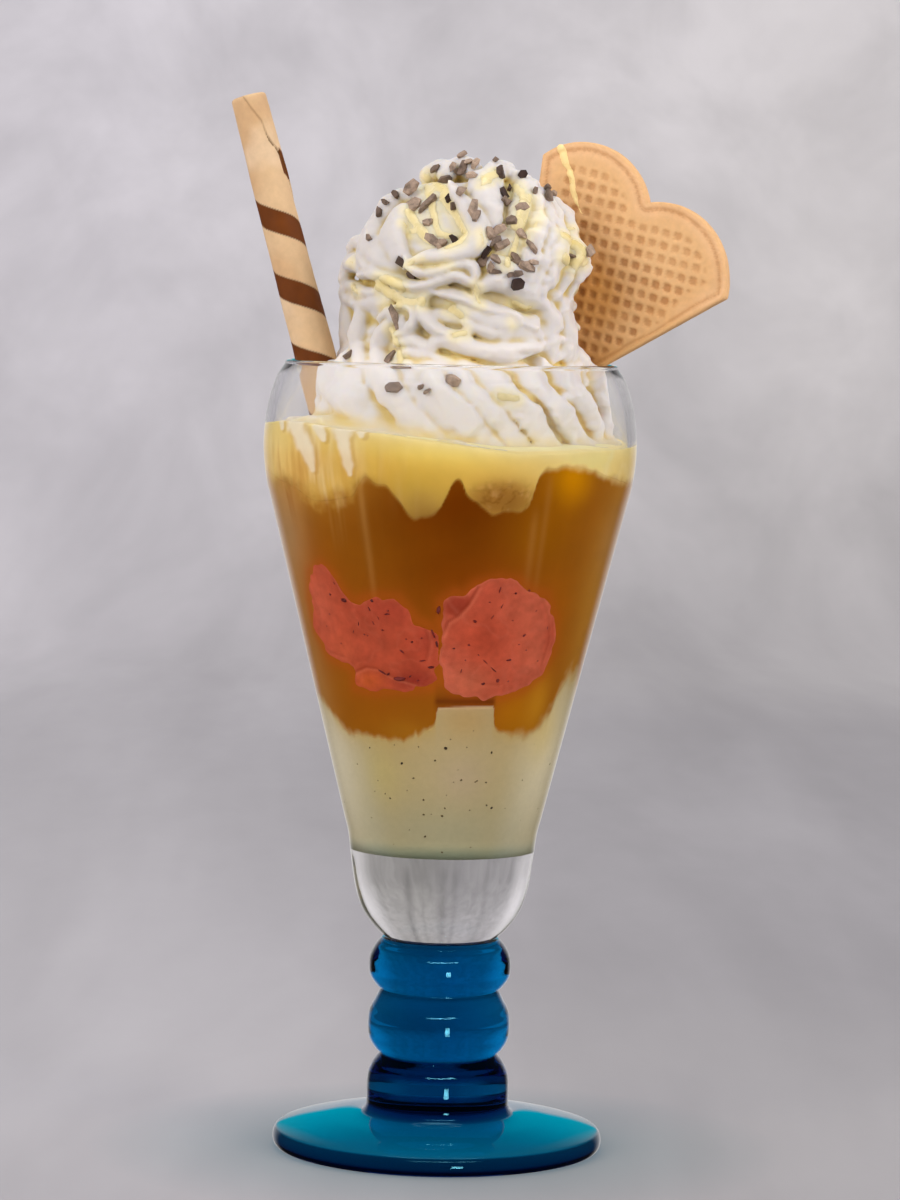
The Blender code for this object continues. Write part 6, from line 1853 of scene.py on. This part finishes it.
# ================================================================= heart wafer
def heart_axes():
    turn, lean, yaw = math.radians(HEART_TURN), math.radians(HEART_LEAN), math.radians(HEART_YAW)

    def rotate(x, y, z):
        y, z = y * math.cos(lean) + z * math.sin(lean), z * math.cos(lean) - y * math.sin(lean)
        return np.array([x * math.cos(yaw) + y * math.sin(yaw), -x * math.sin(yaw) + y * math.cos(yaw), z])

    up = rotate(math.sin(turn), 0, math.cos(turn))
    side = rotate(math.cos(turn), 0, -math.sin(turn))
    back = np.cross(up, side)
    if back[1] < 0:
        back = -back
    return np.array(HEART_CENTRE), side, up, back


def heart_curve():
    r, c, length = HEART_LOBE, HEART_HALF, HEART_LENGTH
    corner = (c + r * math.cos(math.radians(HEART_CORNER)), r * math.sin(math.radians(HEART_CORNER)))
    slope = math.atan2(corner[0], corner[1] + length)
    start = math.pi - math.acos(c / r)
    end = math.radians(HEART_CORNER)
    arc = [(c + r * math.cos(a), r * math.sin(a)) for a in np.linspace(start, end, 60)]
    tip_y = -length + HEART_TIP / math.sin(slope)
    tip = [(HEART_TIP * math.cos(a), tip_y + HEART_TIP * math.sin(a)) for a in np.linspace(-slope, -math.pi / 2, 20)]
    half = arc + tip
    return np.array(half + [(-x, y) for x, y in half[::-1]][1:-1])


def outline_distance(points, curve):
    """Signed distance to a closed curve in the plane, negative inside."""
    best = np.full(len(points), 1e9)
    inside = np.zeros(len(points), bool)
    for (ax, ay), (bx, by) in zip(curve, np.roll(curve, -1, axis=0)):
        ex, ey = bx - ax, by - ay
        px, py = points[:, 0] - ax, points[:, 1] - ay
        t = np.clip((px * ex + py * ey) / (ex * ex + ey * ey + 1e-12), 0, 1)
        best = np.minimum(best, (px - t * ex) ** 2 + (py - t * ey) ** 2)
        if ay != by:
            crosses = (ay > points[:, 1]) != (by > points[:, 1])
            inside ^= crosses & (points[:, 0] < (bx - ax) * (points[:, 1] - ay) / (by - ay) + ax)
    return np.sqrt(best) * np.where(inside, -1, 1)


def heart_point(px, py):
    """Local (u, v) on the front of the wafer behind a frame point."""
    centre, side, up, back = heart_axes()
    d = np.array(frame_ray(px, py))
    o = np.array([0.7, -1034.0, 206.5])
    q = centre - back * HEART_THICK / 2
    t = ((q - o) @ back) / (d @ back)
    p = o + d * t - centre
    return p @ side, p @ up


def heart_wafer():
    vox = 0.34
    centre, side, up, back = heart_axes()
    us = np.arange(-34.0, 34.01, vox)
    vs = np.arange(-52.0, 21.01, vox)
    ws = np.arange(-3.0, 3.01, vox)
    uu, vv = np.meshgrid(us, vs, indexing="ij")
    flat = np.stack([uu.ravel(), vv.ravel()], -1)
    d2 = outline_distance(flat, heart_curve())
    d2 = d2 + 0.12 * fbm(np.column_stack([flat, d2 * 0]), 5.0, 3, 601)
    inset = -d2
    # the straight sides have a narrow rim, the lobes a smooth crescent inside theirs
    lobes = smooth(flat[:, 1], -9.0, 3.0)
    rim_in = 1.0 + 0.45 * lobes
    field_in = 2.3 + 3.1 * lobes
    # lattice of dimples, in the directions seen from the front
    m = np.array([[side[0], up[0]], [side[2], up[2]]])
    row, col = np.linalg.solve(m, [2.72, -0.70]), np.linalg.solve(m, [-0.58, -3.06])
    start = np.array(heart_point(616.2, 221.2))
    cell = np.linalg.solve(np.array([row, col]).T, (flat - start).T).T
    cell = cell + 0.07 * np.stack([fbm(np.column_stack([flat, d2 * 0]), 6.0, 2, 607), fbm(np.column_stack([flat, d2 * 0]), 6.0, 2, 611)], -1)
    frac = np.abs(cell - np.round(cell))
    edge_dist = np.max(np.stack([frac[:, 0] / 0.41, frac[:, 1] / 0.37], -1), -1)
    round_dist = np.sqrt((frac[:, 0] / 0.45) ** 2 + (frac[:, 1] / 0.41) ** 2)
    pit = smooth(-(0.6 * edge_dist + 0.4 * round_dist), -1.0, -0.45)
    key = np.round(cell)
    vary = noise(np.column_stack([key * 1.7, key[:, 0] * 0]), 1.0, 613)
    amount = smooth(inset, field_in - 0.5, field_in + 1.2) * (0.72 + 0.28 * vary) * (1 - 0.3 * smooth(flat[:, 1], -2.0, 10.0))
    pit = pit * amount
    groove = np.exp(-((inset - rim_in - 0.55) / 0.42) ** 2)
    base = 0.36 * smooth(inset, rim_in - 0.35, rim_in + 0.35)
    dome = 0.16 * np.exp(-((inset - 0.5 * (rim_in + field_in)) / 1.4) ** 2) * lobes
    relief = base - dome + 0.85 * pit + 0.16 * groove + 0.05 * fbm(np.column_stack([flat, d2 * 0]), 1.6, 3, 617)
    front_w = (-HEART_THICK / 2 + relief).reshape(uu.shape)
    back_w = (HEART_THICK / 2 - 0.25 * base - 0.45 * pit).reshape(uu.shape)
    d2 = d2.reshape(uu.shape)
    w = ws[None, None, :]
    body = np.maximum(front_w[:, :, None] - w, w - back_w[:, :, None])
    rim = d2[:, :, None] + 0.0 * w
    soft = 0.55
    a, b = body + soft, rim + soft
    f = (np.sqrt(np.maximum(a, 0) ** 2 + np.maximum(b, 0) ** 2) + np.minimum(np.maximum(a, b), 0) - soft).astype(np.float32)

    def surface(field):
        grid = openvdb.FloatGrid(background=9.0)
        grid.copyFromArray(np.ascontiguousarray(field, np.float32))
        pts, quads = grid.convertToQuads(isovalue=0.0)
        local = pts * vox + np.array([us[0], vs[0], ws[0]])
        return local, quads

    def look(values, local):
        i = np.clip(((local[:, 0] - us[0]) / vox).round().astype(int), 0, len(us) - 1)
        j = np.clip(((local[:, 1] - vs[0]) / vox).round().astype(int), 0, len(vs) - 1)
        return values.reshape(uu.shape)[i, j]

    local, quads = surface(f)
    world = centre + local[:, :1] * side + local[:, 1:2] * up + local[:, 2:] * back
    out = np.tile(lin(224, 178, 124), (len(local), 1))
    flatp = np.column_stack([local[:, :2], local[:, 0] * 0])
    out += (lin(232, 186, 140) - out) * (look(lobes, local) * smooth(-look(inset, local), -field_in.max(), -1.5) * 0.55)[:, None]
    out += (lin(206, 152, 92) - out) * (smooth(fbm(flatp, 14.0, 3, 631), 0.0, 0.55) * 0.5)[:, None]
    # darker towards the point and the side that stands in the cream: partly baked colour, partly painted shadow from
    # the cream
    baked_and_shadow = smooth(-world[:, 2], -208.0, -188.0) * smooth(-world[:, 0], -50.0, -32.0)
    baked_and_shadow = np.maximum(baked_and_shadow, smooth(-np.hypot((world[:, 0] - 33.0) / 9.0, (world[:, 2] - 206.0) / 11.0), -1.4, -0.3))
    out += (lin(218, 150, 62) - out) * (baked_and_shadow * 0.65)[:, None]
    # painted shade in the dimples and in the groove inside the rim
    out += (lin(166, 106, 52) - out) * (look(pit, local) * 0.7)[:, None]
    out += (lin(176, 118, 60) - out) * (look(groove, local) * 0.5 * (local[:, 2] < 0))[:, None]
    rim_here = smooth(-look(inset, local), -1.0, -0.3)
    out += (lin(214, 166, 108) - out) * (rim_here * 0.5)[:, None]
    edge_side = smooth(np.abs(look(inset, local) * -1), -1, 0) * 0
    out *= (1 + 0.05 * fbm(flatp, 3.0, 3, 641))[:, None]
    obj = outward_if_needed(make_mesh("heart_wafer_waffle", world, quads, np.clip(out, 0, 1)))
    mat = Mat("heart_mat", rough=0.55, Specular_IOR_Level=0.3)
    grain = mat.noise(640.0, 4.0, 0.6)
    mat.colour(mat.vary(mat.attr("Paint"), grain, 0.94, 1.05))
    mat.rough(grain, 0.42, 0.66)
    mat.bump((grain, 0.00012, 0.4), (mat.noise(170.0, 3.0, 0.5), 0.0003, 0.2))
    finish_piece(obj, mat, ["heart_wafer"])

    # a thread of custard over the upper lobe
    tracks = [([(556, 145), (558.5, 150), (562, 162), (565.5, 170)], (0.7, 1.25, 1.0, 0.55)),
              ([(566.0, 172), (567.5, 178), (569.5, 192), (572.5, 202)], (0.9, 1.0, 0.8, 0.55)),
              ([(573, 203), (578, 214)], (0.4, 0.3))]
    d = np.full(uu.size, 9.0)
    for track, radii in tracks:
        pts = catmull([heart_point(*t) for t in track], 6)
        rr = np.interp(np.linspace(0, 1, len(pts)), np.linspace(0, 1, len(radii)), radii)
        for p, r in zip(pts, rr):
            d = np.minimum(d, np.hypot(flat[:, 0] - p[0], flat[:, 1] - p[1]) - r)
    d = (d + 0.12 * fbm(np.column_stack([flat, d * 0]), 1.5, 2, 651)).reshape(uu.shape)[:, :, None]
    g = np.maximum(f - (0.55 * np.sqrt(np.clip(-d / 0.9, 0, 1)) - 0.1), d)
    g = np.maximum(g, np.broadcast_to(w - 0.2, g.shape))
    local, quads = surface(g)
    world = centre + local[:, :1] * side + local[:, 1:2] * up + local[:, 2:] * back
    obj = outward_if_needed(make_mesh("custard_thread", world, quads, np.tile(lin(246, 218, 150), (len(world), 1))))
    mat = Mat("thread_mat", rough=0.3, Specular_IOR_Level=0.45)
    cloud = mat.noise(300.0, 3.0, 0.5)
    mat.colour(mat.vary(mat.attr("Paint"), cloud, 0.96, 1.02))
    mat.rough(cloud, 0.22, 0.38)
    mat.bump((cloud, 0.0001, 0.2))
    finish_piece(obj, mat)


wafer_roll()
heart_wafer()

# ================================================================= finish
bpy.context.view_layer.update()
